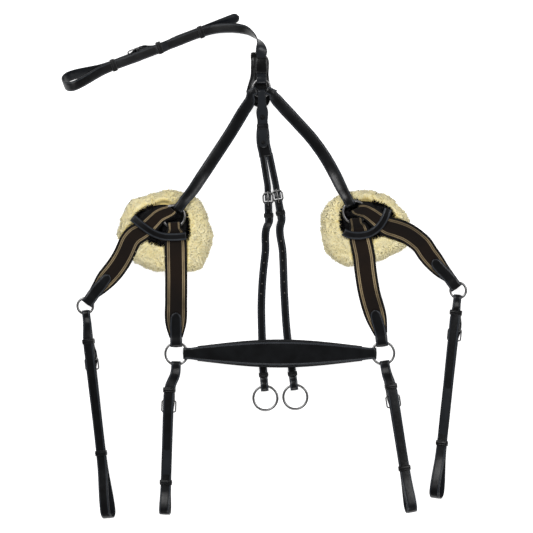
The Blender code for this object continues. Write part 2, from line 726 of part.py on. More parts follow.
def belly_strap():
    frame = heading_frame(BELLY_START, compass(BELLY_HEADING), BELLY_PITCH)
    half = BELLY_HALF
    tail = tail_points(BELLY_BAR, BELLY_BAR - 0.024, half)[1:]
    straight = -LAYER - 0.0001
    points = [(-0.074, straight - 0.0012, half * 0.55), (-0.068, straight - 0.0012, half), (-0.030, straight - 0.0006)]
    points += [(0.0, straight), (BELLY_BAR - 0.022, straight)]
    points = [(p[0], p[1], p[2] if len(p) > 2 else half) for p in points]
    points += [(BELLY_BAR - 0.016, -0.0062, half)] + tail[1:]
    points += loop_points(BELLY_LOOP, BELLY_END_S, BELLY_LOOP_HEIGHT, half)
    points += [(BELLY_BAR + BUCKLE_LENGTH, LAYER, half), (BELLY_BAR, LAYER, half), (0.05, LAYER, half), (0.0, LAYER, half)]
    stations = section_stations(frame, points, half, lambda s: BELLY_ROLL)
    for spot, across in reversed(BELLY_LEAD):
        stations.append((Vector(spot), Vector(across).normalized() * half))
    last = stations[-1]
    stations[-1] = (last[0], last[1] * (BELLY_END_HALF / BELLY_HALF))
    body_frame = Matrix.Translation(BELLY_EXIT)
    body = strap("belly_strap", stations, LEATHER, BLACK_LEATHER, body_frame)
    rolled = Matrix.Rotation(BELLY_ROLL, 4, "Y")
    bar_frame = frame @ Matrix.Translation((0, BELLY_BAR, 0)) @ rolled @ Matrix.Translation((0, 0, -BAR_OFF))
    buckle("belly", "", bar_frame, half)
    cutter = box_cutter("belly_tongue_slot", bar_frame, (-0.0022, -0.006, -0.0085), (0.0022, 0.016, 0.0))
    cut(body, cutter)
    chape = [(BELLY_BAR - 0.018, -LAYER, half)] + chape_points(BELLY_BAR, half)
    chape_solid = strap(
        "belly_buckle_chape", section_stations(frame, chape, half, lambda s: BELLY_ROLL), LEATHER, BLACK_LEATHER, frame
    )
    fold_cutter = box_cutter("belly_chape_slot", bar_frame, (-0.0022, -0.006, -0.0085), (0.0022, 0.016, 0.0043))
    cut(chape_solid, fold_cutter)
    reach = LAYER + LEATHER / 2 + 0.0001
    runner_frame = frame @ Matrix.Translation((0, BELLY_RUNNER, 0)) @ rolled
    keeper("belly_runner", runner_frame, half, -reach, reach, 0.009)


belly_strap()


# ---------------------------------------------------------------- martingale attachment

FORK_FOLD_AT = CHEST_RING_AT + compass(-88) * CHEST_RING
FORK_PITCH = math.radians(-2.6)
FORK_SLACK = 0.008
FORK_SPLIT = 0.108
MARTINGALE_BUCKLE = {
    "left": dict(at=Vector((0.0065, 0.1310, 0.0096)), heading=-88.0, pitch=-0.5),
    "right": dict(at=Vector((0.0225, 0.1350, 0.0049)), heading=-80.5, pitch=0.0),
}
MARTINGALE_BAR_LENGTH = 0.020


def fork():
    """One leather piece: press-stud tab, fold round the chest ring, then two tails to the buckle bars."""
    frame = heading_frame(FORK_FOLD_AT, (0.03, -1), FORK_PITCH)
    radius = RING_WIRE + SLACK + LEATHER / 2
    narrow = 0.0052
    shift = sag(narrow, CHEST_RING) + FORK_SLACK
    points = [(0.091, LAYER, 0.004), (0.086, LAYER, 0.0075), (0.060, LAYER, 0.0085), (0.020, LAYER, 0.0085)]
    points += [(0.012, LAYER + 0.001, narrow), (0.004, radius, narrow), (-shift + 0.003, radius, narrow)]
    points += [(s, n, narrow) for s, n in arc(-shift, 0, radius, 90, 270, 8)]
    points += [(0.004, -radius, narrow), (0.012, -LAYER - 0.001, narrow)]
    points += [(0.020, -LAYER, 0.0085), (0.050, -LAYER, 0.0085), (0.062, -LAYER, 0.0115)]
    points += [(0.085, -LAYER, 0.0120), (FORK_SPLIT, -LAYER, 0.0120)]
    stations = section_stations(frame, points, narrow)
    mesh = bpy.data.meshes.new("martingale_fork")
    shape = bmesh.new()
    rows = []
    for middle, half in stations:
        rows.append([shape.verts.new(middle + half * k) for k in (-1, 0, 1)])
    for one, two in zip(rows, rows[1:]):
        for k in (0, 1):
            shape.faces.new((one[k], one[k + 1], two[k + 1], two[k]))
    split = rows[-1]
    ends = {"left": (split[1], split[2]), "right": (split[0], split[1])}
    for side in SIDES:
        previous = ends[side]
        for middle, half in tail_stations(side, stations[-1][0]):
            row = [shape.verts.new(middle + half * k) for k in (-1, 1)]
            shape.faces.new((previous[0], previous[1], row[1], row[0]))
            previous = row
    shape.to_mesh(mesh)
    shape.free()
    obj = bpy.data.objects.new("martingale_fork", mesh)
    add_thickness(obj, LEATHER)
    return place(obj, Matrix(), BLACK_LEATHER)


def martingale_bar_frame(side):
    sizes = MARTINGALE_BUCKLE[side]
    return heading_frame(sizes["at"], compass(sizes["heading"]), math.radians(sizes["pitch"]))


def tail_stations(side, split_middle):
    """A fork tail from the split to its buckle bar and round it."""
    frame = martingale_bar_frame(side)
    above = frame @ Vector((0, -0.012, BAR_FOLD))
    start = split_middle + Vector((-0.0045 if side == "left" else 0.0070, -0.010, 0))
    half = TAIL_HALF
    across = frame.to_3x3() @ Vector((half, 0, 0))
    stations = []
    for k in (0.0, 0.5):
        stations.append((start.lerp(above, k), across))
    turn = arc(0, 0, BAR_FOLD, 90, -90, 8)
    path = [(-0.012, BAR_FOLD)] + turn + [(-0.008, -BAR_FOLD + 0.0003)]
    return stations + section_stations(frame, path, half)


fork_body = fork()
MARTINGALE_SIDE = 0.0088
for side in SIDES:
    bar_frame = martingale_bar_frame(side) @ Matrix.Rotation(math.pi, 4, "Y")
    outline = rounded_rectangle(MARTINGALE_SIDE, 0.0, MARTINGALE_BAR_LENGTH, 0.003)
    wire(
        f"martingale_buckle_{side}",
        [(x, y, 0.0) for x, y in outline],
        BUCKLE_WIRE,
        NICKEL,
        bar_frame,
        cyclic=True,
    )
    rest_off = -(BUCKLE_WIRE + LEATHER + 0.0012 + TONGUE_WIRE)
    bend = arc(0, 0, TONGUE_TURN, 60, 250, 7)
    points = [(0.0, s, n) for s, n in bend]
    points += [(0.0, 0.007, rest_off), (0.0, 0.014, rest_off), (0.0, 0.0225, rest_off)]
    wire(f"martingale_tongue_{side}", points, TONGUE_WIRE, NICKEL, bar_frame)
    slot = box_cutter(
        f"martingale_{side}_tongue_slot", bar_frame, (-0.0018, -0.0065, -0.006), (0.0018, 0.007, 0.006)
    )
    cut(fork_body, slot)

MARTINGALE_ROUTE = {
    "left": (
        (0.0050, 0.070, 0.0082), (0.0020, 0.024, 0.0045), (-0.0020, -0.013, 0.0035), (-0.0050, -0.062, 0.0034),
        (-0.0040, -0.132, 0.0034), (-0.0025, -0.180, 0.0044),
    ),
    "right": (
        (0.0285, 0.070, 0.0042), (0.0330, 0.026, 0.0036), (0.0360, -0.049, 0.0034), (0.0420, -0.132, 0.0034),
        (0.0490, -0.180, 0.0044),
    ),
}


def martingale_strap(side):
    """Adjusting strap: tail, fold round the buckle's far bar, face, and fold round the rein ring."""
    bar = martingale_bar_frame(side)
    far = bar @ Matrix.Translation((0, MARTINGALE_BAR_LENGTH, 0))
    half = MARTINGALE_HALF
    radius = BUCKLE_WIRE + SLACK + LEATHER / 2
    points = [(0.034, -LAYER, half), (0.010, -LAYER, half), (0.003, -radius, half)]
    points += [(s, n, half) for s, n in arc(0, 0, radius, -90, -270, 8)]
    points += [(0.003, radius, half), (0.010, LAYER, half), (0.034, LAYER, half)]
    top = section_stations(far, points, half)
    route = MARTINGALE_ROUTE[side]
    ring_at = MARTINGALE_RING_AT[side]
    last = Vector(route[-1])
    direction = Vector((last.x - ring_at.x, last.y - ring_at.y, 0)).normalized()
    frame = heading_frame(ring_at + direction * MARTINGALE_RING, direction)
    fold = RING_WIRE + sag(half, MARTINGALE_RING) + FOLD_GAP + LEATHER / 2
    low = 0.0015 - MARTINGALE_RING_Z
    points = [(0.026, low, half), (0.012, low, half), (0.003, -fold, half)]
    points += [(s, n, half) for s, n in arc(0, 0, fold, -90, -270, 8)]
    points += [(0.003, fold, half), (0.014, 0.0055 - MARTINGALE_RING_Z, half), (0.026, 0.0047 - MARTINGALE_RING_Z, half)]
    bottom = section_stations(frame, points, half)
    stations = top + plan_stations(route, [half] * len(route)) + reverse(bottom)
    strap(f"martingale_strap_{side}", stations, LEATHER, BLACK_LEATHER, far)
    reach = LAYER + LEATHER / 2
    keeper(f"martingale_keeper_{side}", far @ Matrix.Translation((0, 0.021, 0)), half, -reach, reach, 0.008)
    centre = frame.inverted() @ ring_at
    obj = ring(f"martingale_ring_{side}", None, MARTINGALE_RING, RING_WIRE, frame)
    obj.data.transform(Matrix.Translation(centre))


for side in SIDES:
    martingale_strap(side)
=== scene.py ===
"""Five-point breastplate: the looks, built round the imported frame.

It lies flat, with the chest end at +Y and the saddle straps at -Y. Metres, +Z up.
"""

import math

import bpy
import numpy as np
from mathutils import Matrix, Vector
from mathutils.bvhtree import BVHTree


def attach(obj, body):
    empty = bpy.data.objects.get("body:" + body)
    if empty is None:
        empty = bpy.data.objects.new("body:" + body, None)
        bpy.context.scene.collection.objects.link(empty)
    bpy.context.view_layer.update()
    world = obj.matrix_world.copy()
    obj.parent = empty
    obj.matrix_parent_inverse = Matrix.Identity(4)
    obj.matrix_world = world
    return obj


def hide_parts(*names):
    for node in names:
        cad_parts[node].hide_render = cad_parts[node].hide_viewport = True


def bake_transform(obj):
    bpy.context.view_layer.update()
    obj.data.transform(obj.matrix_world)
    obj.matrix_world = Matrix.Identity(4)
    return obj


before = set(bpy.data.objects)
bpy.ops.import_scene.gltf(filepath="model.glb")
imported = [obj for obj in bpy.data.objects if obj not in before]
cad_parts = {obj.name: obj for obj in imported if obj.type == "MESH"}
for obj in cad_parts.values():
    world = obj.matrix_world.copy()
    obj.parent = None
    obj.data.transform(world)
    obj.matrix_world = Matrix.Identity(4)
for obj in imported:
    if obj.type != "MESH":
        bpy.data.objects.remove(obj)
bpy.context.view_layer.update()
SIDES = ("left", "right")

# ------------------------------------------------------------------ rings
# Seven plain round rings and two large rein rings, bent from steel wire, welded and nickel plated.
# Bright plate: pale warm grey metal, smooth, with faint drawing lines and handling haze.

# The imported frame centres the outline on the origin; the layout below is drawn with this offset.
LAY_OFFSET = Vector((-0.00026, 0.00087, 0.0))
RING_WIRE = 0.002
# the chest ring's wire is thinner, because the fork has to turn on it
STOUT_WIRE = RING_WIRE * 1.14
BIG_RING = 0.020
CHEST_RING = 0.0155
GIRTH_RING = 0.0141
REIN_RING = 0.0216


def colour(hex_code):
    """An sRGB hex code as the linear colour that a shader takes."""
    parts = [int(hex_code[i : i + 2], 16) / 255 for i in (1, 3, 5)]
    return (*[c / 12.92 if c <= 0.04045 else ((c + 0.055) / 1.055) ** 2.4 for c in parts], 1.0)


def add(tree, kind, place=(), links=None, **settings):
    """Adds a node: its properties by name, its input values by place, and its links as {input: socket}."""
    node = tree.nodes.new(kind)
    for key, value in settings.items():
        setattr(node, key, value)
    for key, value in dict(place).items():
        node.inputs[key].default_value = value
    for key, socket in (links or {}).items():
        tree.links.new(socket, node.inputs[key])
    return node


def finish_named(name):
    made = bpy.data.materials.new(name)
    made.use_nodes = True
    return made, made.node_tree, made.node_tree.nodes["Principled BSDF"]


def nickel_plate():
    made, tree, shader = finish_named("bright nickel plate")
    shader.inputs["Metallic"].default_value = 1.0
    where = add(tree, "ShaderNodeTexCoord")
    haze = add(
        tree, "ShaderNodeTexNoise", {"Scale": 220.0, "Detail": 3.0}, {"Vector": where.outputs["Object"]}
    )
    tone = add(tree, "ShaderNodeValToRGB", links={"Fac": haze.outputs["Fac"]})
    tone.color_ramp.elements[0].color = colour("#6c6c6f")
    tone.color_ramp.elements[1].color = colour("#8e8d8b")
    gloss = add(tree, "ShaderNodeMapRange", {"To Min": 0.26, "To Max": 0.40}, {"Value": haze.outputs["Fac"]})
    tree.links.new(tone.outputs["Color"], shader.inputs["Base Color"])
    tree.links.new(gloss.outputs["Result"], shader.inputs["Roughness"])
    # wear dents of about 3 mm
    dents = add(tree, "ShaderNodeTexNoise", {"Scale": 330.0}, {"Vector": where.outputs["Object"]})
    bump = add(
        tree, "ShaderNodeBump", {"Strength": 0.12, "Distance": 0.0003}, {"Height": dents.outputs["Fac"]}
    )
    tree.links.new(bump.outputs["Normal"], shader.inputs["Normal"])
    return made


NICKEL = nickel_plate()


def put_in_scene(name, data):
    thing = bpy.data.objects.new(name, data)
    bpy.context.scene.collection.objects.link(thing)
    return thing


def make_piece(name, points, faces, finish, body, stands_for=(), uv=None, gaps=None):
    """A finished piece from its points and faces, riding on its body."""
    mesh = bpy.data.meshes.new(name)
    mesh.from_pydata([tuple(Vector(p) + LAY_OFFSET) for p in points], [], faces)
    if gaps is not None:
        mesh.attributes.new("edge_gap", "FLOAT", "POINT").data.foreach_set("value", gaps)
    if uv is not None:
        layer = mesh.uv_layers.new(name="cloth")
        for poly in mesh.polygons:
            for loop in poly.loop_indices:
                layer.data[loop].uv = uv[mesh.loops[loop].vertex_index]
    mesh.polygons.foreach_set("use_smooth", [True] * len(mesh.polygons))
    mesh.materials.append(finish)
    piece = put_in_scene(name, mesh)
    if body:
        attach(piece, body)
    if stands_for:
        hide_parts(*stands_for)
    return piece


def side_faces(count, size, closed=False):
    """Faces between neighbouring rings of points, for count rings of size points each."""
    faces = []
    for i in range(count if closed else count - 1):
        one, two = i * size, (i + 1) % count * size
        for k in range(size):
            nxt = (k + 1) % size
            faces.append((one + k, one + nxt, two + nxt, two + k))
    return faces


def end_caps(count, size):
    """Faces that close the first and last rings of points."""
    last = (count - 1) * size
    return [tuple(reversed(range(size))), tuple(last + k for k in range(size))]


def bent_wire(path, radius, closed, sides=12):
    """Points and faces of a round wire along a path, with rounded ends when it is open."""
    line = [Vector(p) for p in path]
    count = len(line)
    points = []
    normal = None
    rings = []
    for i, spot in enumerate(line):
        after = line[(i + 1) % count] if closed or i + 1 < count else spot
        before = line[i - 1] if closed or i else spot
        along = (after - before).normalized()
        if normal is None:
            normal = along.orthogonal().normalized()
        normal = (normal - along * normal.dot(along)).normalized()
        rings.append((spot, along, normal, radius))
    if not closed:
        first, last = rings[0], rings[-1]
        for share in (0.5, 0.86):
            width = radius * math.sqrt(1 - share**2)
            rings.insert(0, (first[0] - first[1] * radius * share, first[1], first[2], width))
            rings.append((last[0] + last[1] * radius * share, last[1], last[2], width))
    for spot, along, out, width in rings:
        side = along.cross(out)
        for k in range(sides):
            turn = math.tau * k / sides
            points.append(spot + (out * math.cos(turn) + side * math.sin(turn)) * width)
    # on a flat loop the last section meets the first unturned, so the two join directly
    faces = side_faces(len(rings), sides, closed)
    if not closed:
        faces += end_caps(len(rings), sides)
    return points, faces


def ring_path(at, radius):
    steps = 72
    turns = [math.tau * i / steps for i in range(steps)]
    return [Vector(at) + Vector((math.cos(a), math.sin(a), 0)) * radius for a in turns]


SHOULDER_RING_Z = 0.027
RING_AT = {
    "chest_ring": (-0.005, 0.319, 0.0142),
    "shoulder_ring_left": (-0.163, 0.088, SHOULDER_RING_Z),
    "shoulder_ring_right": (0.162, 0.096, SHOULDER_RING_Z),
    "withers_ring_left": (-0.158, -0.159, 0.0125),
    "withers_ring_right": (0.214, -0.158, 0.0125),
    "girth_ring_left": (-0.322, -0.073, 0.015),
    "girth_ring_right": (0.349, -0.045, 0.015),
    "martingale_ring_left": (0.002, -0.239, 0.0065),
    "martingale_ring_right": (0.056, -0.237, 0.0065),
}
RING_SIZE = {"chest": CHEST_RING, "girth": GIRTH_RING, "martingale": REIN_RING}
RING_BODY = {
    "chest_ring": "base",
    "shoulder_ring_left": "base",
    "shoulder_ring_right": "base",
    "girth_ring_left": "girth_end_left",
    "girth_ring_right": "girth_end_right",
}
for ring_name, ring_at in RING_AT.items():
    ring_size = RING_SIZE.get(ring_name.split("_")[0], BIG_RING)
    ring_wire = RING_WIRE if ring_name == "chest_ring" else STOUT_WIRE
    ring_points, ring_faces = bent_wire(ring_path(ring_at, ring_size), ring_wire, True, 14)
    ring_rides = RING_BODY.get(ring_name, ring_name)
    make_piece(
        f"{ring_name}_plated", ring_points, ring_faces, NICKEL, ring_rides, [ring_name]
    )

# ------------------------------------------------------------------ chest pad and chest end
# A padded oval of black bridle leather on the breastbone, with the belly strap's end held down under a
# sewn leather sleeve. Bridle leather: waxed and dyed through, semi-matt, fine grain, with a painted highlight
# along its creases and edges.

LEATHER = 0.0022
LAYER = 0.0014
SLACK = 0.0005
FOLD_GAP = 0.0007
STITCH_PITCH = 0.0032
THREAD_THICKNESS = 0.0008
KEEPER_LEATHER = 0.0014


def bridle_leather(name, dark, light, edge, rough_low, rough_high, gloss):
    made, tree, shader = finish_named(name)
    where = add(tree, "ShaderNodeTexCoord")
    # dye and wax vary over patches of about 25 mm
    patch = add(
        tree, "ShaderNodeTexNoise", {"Scale": 40.0, "Detail": 4.0}, {"Vector": where.outputs["Object"]}
    )
    tone = add(tree, "ShaderNodeValToRGB", links={"Fac": patch.outputs["Fac"]})
    tone.color_ramp.elements[0].position = 0.3
    tone.color_ramp.elements[0].color = colour(dark)
    tone.color_ramp.elements[1].position = 0.72
    tone.color_ramp.elements[1].color = colour(light)
    wax = add(
        tree, "ShaderNodeMapRange",
        {"To Min": rough_low, "To Max": rough_high},
        {"Value": patch.outputs["Fac"]},
    )
    # grain cells of 0.9 mm, drawn at 1.5 mm so that they show
    grain = add(tree, "ShaderNodeTexVoronoi", {"Scale": 660.0}, {"Vector": where.outputs["Object"]})
    soft = add(
        tree, "ShaderNodeTexNoise", {"Scale": 190.0, "Detail": 3.0}, {"Vector": where.outputs["Object"]}
    )
    fine = add(
        tree, "ShaderNodeBump", {"Strength": 0.22, "Distance": 0.0002}, {"Height": grain.outputs["Distance"]}
    )
    creases = add(
        tree,
        "ShaderNodeBump",
        {"Strength": 0.30, "Distance": 0.0006},
        {"Height": soft.outputs["Fac"], "Normal": fine.outputs["Normal"]},
    )
    # a hot iron draws a crease 2 mm in from each edge: a painted highlight is laid along the crease, and a fainter
    # painted highlight along the cut edge
    gap = add(tree, "ShaderNodeAttribute", attribute_name="edge_gap")
    painted_highlight_mask = add(tree, "ShaderNodeValToRGB", links={"Fac": add(
        tree, "ShaderNodeMath", {1: 100.0}, {0: gap.outputs["Fac"]}, operation="MULTIPLY"
    ).outputs[0]})
    stops = ((0.0, 0.0), (0.03, 0.25), (0.10, 0.35), (0.16, 1.0), (0.24, 1.0), (0.34, 0.0))
    painted_highlight_mask.color_ramp.elements[1].position = stops[1][0]
    for place, (position, level) in enumerate(stops):
        stop = painted_highlight_mask.color_ramp.elements[place] if place < 2 else painted_highlight_mask.color_ramp.elements.new(position)
        stop.position, stop.color = position, (level, level, level, 1.0)
    # the leather's tone with the painted highlight mixed over it
    painted_light = add(
        tree, "ShaderNodeMix", {"B": colour(edge)},
        {"Factor": painted_highlight_mask.outputs["Color"], "A": tone.outputs["Color"]},
        data_type="RGBA",
    )
    tree.links.new(painted_light.outputs["Result"], shader.inputs["Base Color"])
    tree.links.new(wax.outputs["Result"], shader.inputs["Roughness"])
    tree.links.new(creases.outputs["Normal"], shader.inputs["Normal"])
    shader.inputs["Specular IOR Level"].default_value = gloss
    return made


# the third colour of each leather is its painted highlight on the creases and cut edges
BLACK_LEATHER = bridle_leather("black bridle leather", "#040405", "#0b0d10", "#2e3238", 0.24, 0.40, 0.30)
LINING = bridle_leather("black lining leather", "#030304", "#080809", "#17191c", 0.50, 0.66, 0.16)


def heading_frame(at, direction, pitch=0.0):
    """A frame at a point: Y along the direction, Z up, X across."""
    along = Vector((direction[0], direction[1], 0.0)).normalized()
    along = (along * math.cos(pitch) + Vector((0, 0, math.sin(pitch)))).normalized()
    across = along.cross(Vector((0, 0, 1))).normalized()
    turn = Matrix((across, along, across.cross(along))).transposed()
    return Matrix.Translation(at) @ turn.to_4x4()


def compass(degrees):
    return Vector((math.cos(math.radians(degrees)), math.sin(math.radians(degrees)), 0.0))


def smooth(t):
    t = min(max(t, 0.0), 1.0)
    return t * t * (3 - 2 * t)


def arc(s, n, radius, start, end, steps=14):
    """Points of an arc in a strap's (along, off) plane, angles in degrees from +along to +off."""
    angles = [math.radians(start + (end - start) * i / steps) for i in range(steps + 1)]
    return [(s + radius * math.cos(a), n + radius * math.sin(a)) for a in angles]


def sag(half, ring_radius):
    """How far a ring's wire curves away over a strap's half width."""
    return ring_radius - math.sqrt(ring_radius**2 - half**2)


def section_stations(where, points, half, twist=None, sway=None):
    """Stations (middle, half-width vector) of a line of (along, off) or (along, off, half) in a frame."""
    stations = []
    for point in points:
        s, n = point[:2]
        width = point[2] if len(point) > 2 else half
        turn = Matrix.Rotation(twist(s) if twist else 0.0, 3, "Y")
        aside = Vector((sway(s) if sway else 0.0, s, 0.0))
        middle = aside + turn @ Vector((0, 0, n))
        stations.append((where @ middle, where.to_3x3() @ (turn @ Vector((width, 0, 0)))))
    return stations


def follow(stations, spacing):
    """Rows of middle, half vector, heading and distance, evenly along a smooth line through stations."""
    data = np.array([[*middle, *half] for middle, half in stations], float)
    gap = np.maximum(np.linalg.norm(np.diff(data[:, :3], axis=0), axis=1), 1e-7)
    secant = np.diff(data, axis=0) / gap[:, None]
    slope = np.concatenate([secant[:1], secant[-1:]]) if len(data) == 2 else np.empty_like(data)
    if len(data) > 2:
        slope[0], slope[-1] = secant[0], secant[-1]
        before, after = gap[:-1, None], gap[1:, None]
        slope[1:-1] = (secant[:-1] * after + secant[1:] * before) / (before + after)
    rows = []
    travelled = 0.0
    for i, length in enumerate(gap):
        steps = max(1, math.ceil(length / spacing))
        for k in range(steps + (i == len(gap) - 1)):
            t = k / steps
            a, b = 2 * t**3 - 3 * t**2 + 1, t**3 - 2 * t**2 + t
            c, d = -2 * t**3 + 3 * t**2, t**3 - t**2
            spot = a * data[i] + b * length * slope[i] + c * data[i + 1] + d * length * slope[i + 1]
            e, f = (6 * t**2 - 6 * t) / length, 3 * t**2 - 4 * t + 1
            g, h = (-6 * t**2 + 6 * t) / length, 3 * t**2 - 2 * t
            head = e * data[i] + f * slope[i] + g * data[i + 1] + h * slope[i + 1]
            rows.append((spot, head[:3], travelled + length * t))
        travelled += length
    return rows


# Half of a strap's section, from its edge to its middle: (distance in from the edge, height as a share of
# half the thickness, extra height in metres). A pressed crease runs 2 mm in from each edge.
CREASED = (
    (0.0, 0.35, 0.0), (0.00025, 0.8, 0.0), (0.0008, 1.0, 0.0), (0.0017, 1.0, 0.0), (0.0021, 1.0, -0.00028),
    (0.0025, 1.0, 0.00002), (0.0045, 1.0, 0.00008),
)
PLAIN = ((0.0, 0.35, 0.0), (0.0003, 0.85, 0.0), (0.0009, 1.0, 0.0), (0.0035, 1.0, 0.00005))
FLESH = ((0.0, -0.35, 0.0), (0.0003, -0.85, 0.0), (0.0009, -1.0, 0.0))


def strap_shape(
    stations, thickness, spacing=0.003, grain=1, profile=CREASED, tips=("cut", "cut"), crown=0.00015
):
    """Points, faces, (along, across) and distance from the edge of a strap through stations.

    grain is the side that the finish is on: 1 where across x along points to it. A tip is cut or round.
    """
    rows = follow(stations, spacing)
    total = rows[-1][2]
    top = [(-1, *p) for p in profile] + [(0, 0, 1.0, crown)] + [(1, *p) for p in reversed(profile)]
    under = [(1, *p) for p in FLESH] + [(-1, *p) for p in reversed(FLESH)]
    section = top + under
    points, uv, gaps = [], [], []
    for spot, head, travelled in rows:
        middle, across = Vector(spot[:3]), Vector(spot[3:])
        half = across.length
        head = Vector(head).normalized()
        across = (across - head * across.dot(head)).normalized()
        off = across.cross(head) * grain
        share = 1.0
        for tip, reach in ((tips[0], travelled), (tips[1], total - travelled)):
            if tip == "round" and reach < half:
                share = min(share, math.sqrt(max(0.02, 1 - (1 - reach / half) ** 2)))
        half *= share
        for side, inset, height, extra in section:
            x = side * (half - min(inset, half * 0.85)) if side else 0.0
            points.append(middle + across * x + off * (thickness / 2 * height + extra * min(1, share)))
            uv.append((travelled, x))
            gaps.append(min(inset, half) if side else half)
    faces = side_faces(len(rows), len(section)) + end_caps(len(rows), len(section))
    if grain < 0:
        faces = [tuple(reversed(face)) for face in faces]
    return points, faces, uv, gaps


def lay_strap(name, stations, thickness, body, stands_for=(), finish=None, slot="black_leather", **shape):
    points, faces, _, gaps = strap_shape(stations, thickness, **shape)
    return make_piece(name, points, faces, finish or BLACK_LEATHER, body, stands_for, gaps=gaps)


def group_input(tree, kind, name, value=None):
    socket = tree.interface.new_socket(name, in_out="INPUT", socket_type=kind)
    if value is not None:
        socket.default_value = value
    return socket.identifier


def started_tree(name):
    tree = bpy.data.node_groups.new(name, "GeometryNodeTree")
    tree.interface.new_socket("Geometry", in_out="INPUT", socket_type="NodeSocketGeometry")
    tree.interface.new_socket("Geometry", in_out="OUTPUT", socket_type="NodeSocketGeometry")
    return tree, tree.nodes.new("NodeGroupInput"), tree.nodes.new("NodeGroupOutput")


def end_tree(tree, made, given, out, finish_socket):
    """Realize, shade smooth and dress what a tree made."""
    real = add(tree, "GeometryNodeRealizeInstances", links={"Geometry": made})
    shade = add(tree, "GeometryNodeSetShadeSmooth", links={"Geometry": real.outputs[0]})
    dressed = add(
        tree, "GeometryNodeSetMaterial",
        links={"Geometry": shade.outputs[0], "Material": given.outputs[finish_socket]},
    )
    tree.links.new(dressed.outputs[0], out.inputs[0])


def grow(name, seed_mesh, tree, values):
    """Runs a tree on a mesh and returns the plain mesh that it makes."""
    carrier = put_in_scene(name, seed_mesh)
    modifier = carrier.modifiers.new("made", "NODES")
    modifier.node_group = tree
    for identifier, value in values.items():
        modifier[identifier] = value
    bpy.context.view_layer.update()
    made = bpy.data.meshes.new_from_object(carrier.evaluated_get(bpy.context.evaluated_depsgraph_get()))
    carrier.modifiers.remove(modifier)
    bpy.data.objects.remove(carrier)
    made.name = name
    return made


def link_grown(name, mesh, body):
    piece = put_in_scene(name, mesh)
    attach(piece, body)
    return piece


def stitch_nodes():
    """A tree that lays thread stitches end to end along the edges of a mesh."""
    tree, given, out = started_tree("saddle stitches")
    ids = {
        "pitch": group_input(tree, "NodeSocketFloat", "Stitch pitch", STITCH_PITCH),
        "length": group_input(tree, "NodeSocketFloat", "Stitch length", 0.0024),
        "thread": group_input(tree, "NodeSocketFloat", "Thread thickness", THREAD_THICKNESS),
        "finish": group_input(tree, "NodeSocketMaterial", "Thread"),
    }
    line = add(tree, "GeometryNodeMeshToCurve", links={"Mesh": given.outputs["Geometry"]})
    even = add(
        tree, "GeometryNodeResampleCurve",
        links={"Curve": line.outputs[0], "Length": given.outputs["Stitch pitch"]},
        mode="LENGTH",
    )
    along = add(tree, "GeometryNodeInputTangent")
    turn = add(tree, "FunctionNodeAlignRotationToVector", links={"Vector": along.outputs[0]}, axis="Z")
    stitch = add(tree, "GeometryNodeMeshUVSphere", {"Segments": 6, "Rings": 4, "Radius": 0.5})
    size = add(
        tree, "ShaderNodeCombineXYZ",
        links={
            "X": given.outputs["Thread thickness"], "Y": given.outputs["Thread thickness"],
            "Z": given.outputs["Stitch length"],
        },
    )
    sewn = add(
        tree, "GeometryNodeInstanceOnPoints",
        links={
            "Points": even.outputs[0], "Instance": stitch.outputs[0], "Rotation": turn.outputs[0],
            "Scale": size.outputs[0],
        },
    )
    end_tree(tree, sewn.outputs[0], given, out, "Thread")
    return tree, ids


def fibre_finish(name, scale, dark, light, roughness, gloss=0.5):
    """A finish of bare fibres, their tone mottled over patches of 1 / scale metres."""
    made, tree, shader = finish_named(name)
    where = add(tree, "ShaderNodeTexCoord")
    mottle = add(tree, "ShaderNodeTexNoise", {"Scale": scale}, {"Vector": where.outputs["Object"]})
    tone = add(tree, "ShaderNodeValToRGB", links={"Fac": mottle.outputs["Fac"]})
    tone.color_ramp.elements[0].color = colour(dark)
    tone.color_ramp.elements[1].color = colour(light)
    tree.links.new(tone.outputs["Color"], shader.inputs["Base Color"])
    shader.inputs["Roughness"].default_value = roughness
    shader.inputs["Specular IOR Level"].default_value = gloss
    return made


# linen thread, twisted and waxed black: its plies, about 1 mm long, catch a little light
THREAD = fibre_finish("black waxed thread", 900.0, "#1b1c1f", "#3a3c42", 0.55)
STITCH_TREE, STITCH_INPUTS = stitch_nodes()


def sew(name, lines, body, pitch=STITCH_PITCH):
    """Stitches along lines of points."""
    points, edges = [], []
    for line in lines:
        start = len(points)
        points += [tuple(Vector(p) + LAY_OFFSET) for p in line]
        edges += [(start + i, start + i + 1) for i in range(len(line) - 1)]
    seam = bpy.data.meshes.new(name)
    seam.from_pydata(points, edges, [])
    values = {
        STITCH_INPUTS["pitch"]: pitch, STITCH_INPUTS["length"]: pitch * 0.76,
        STITCH_INPUTS["thread"]: THREAD_THICKNESS, STITCH_INPUTS["finish"]: THREAD,
    }
    return link_grown(name, grow(name, seam, STITCH_TREE, values), body)


def seam_line(stations, inset, off, side, grain=1, skip=(0.0, 0.0)):
    """A line along one edge of a strap, inset from it and raised off its middle."""
    rows = follow(stations, 0.003)
    total = rows[-1][2]
    line = []
    for spot, head, travelled in rows:
        if travelled < skip[0] or travelled > total - skip[1]:
            continue
        across = Vector(spot[3:])
        half = across.length
        head = Vector(head).normalized()
        across = (across - head * across.dot(head)).normalized()
        line.append(Vector(spot[:3]) + across * side * (half - inset) + across.cross(head) * grain * off)
    return line


def rounded_rectangle(half_x, low_y, high_y, corner, steps=5):
    points = []
    for x_sign, y_sign, start in ((1, 1, 0), (-1, 1, 90), (-1, -1, 180), (1, -1, 270)):
        cx = x_sign * (half_x - corner)
        cy = high_y - corner if y_sign > 0 else low_y + corner
        for i in range(steps + 1):
            a = math.radians(start + 90 * i / steps)
            points.append((cx + corner * math.cos(a), cy + corner * math.sin(a)))
    return points


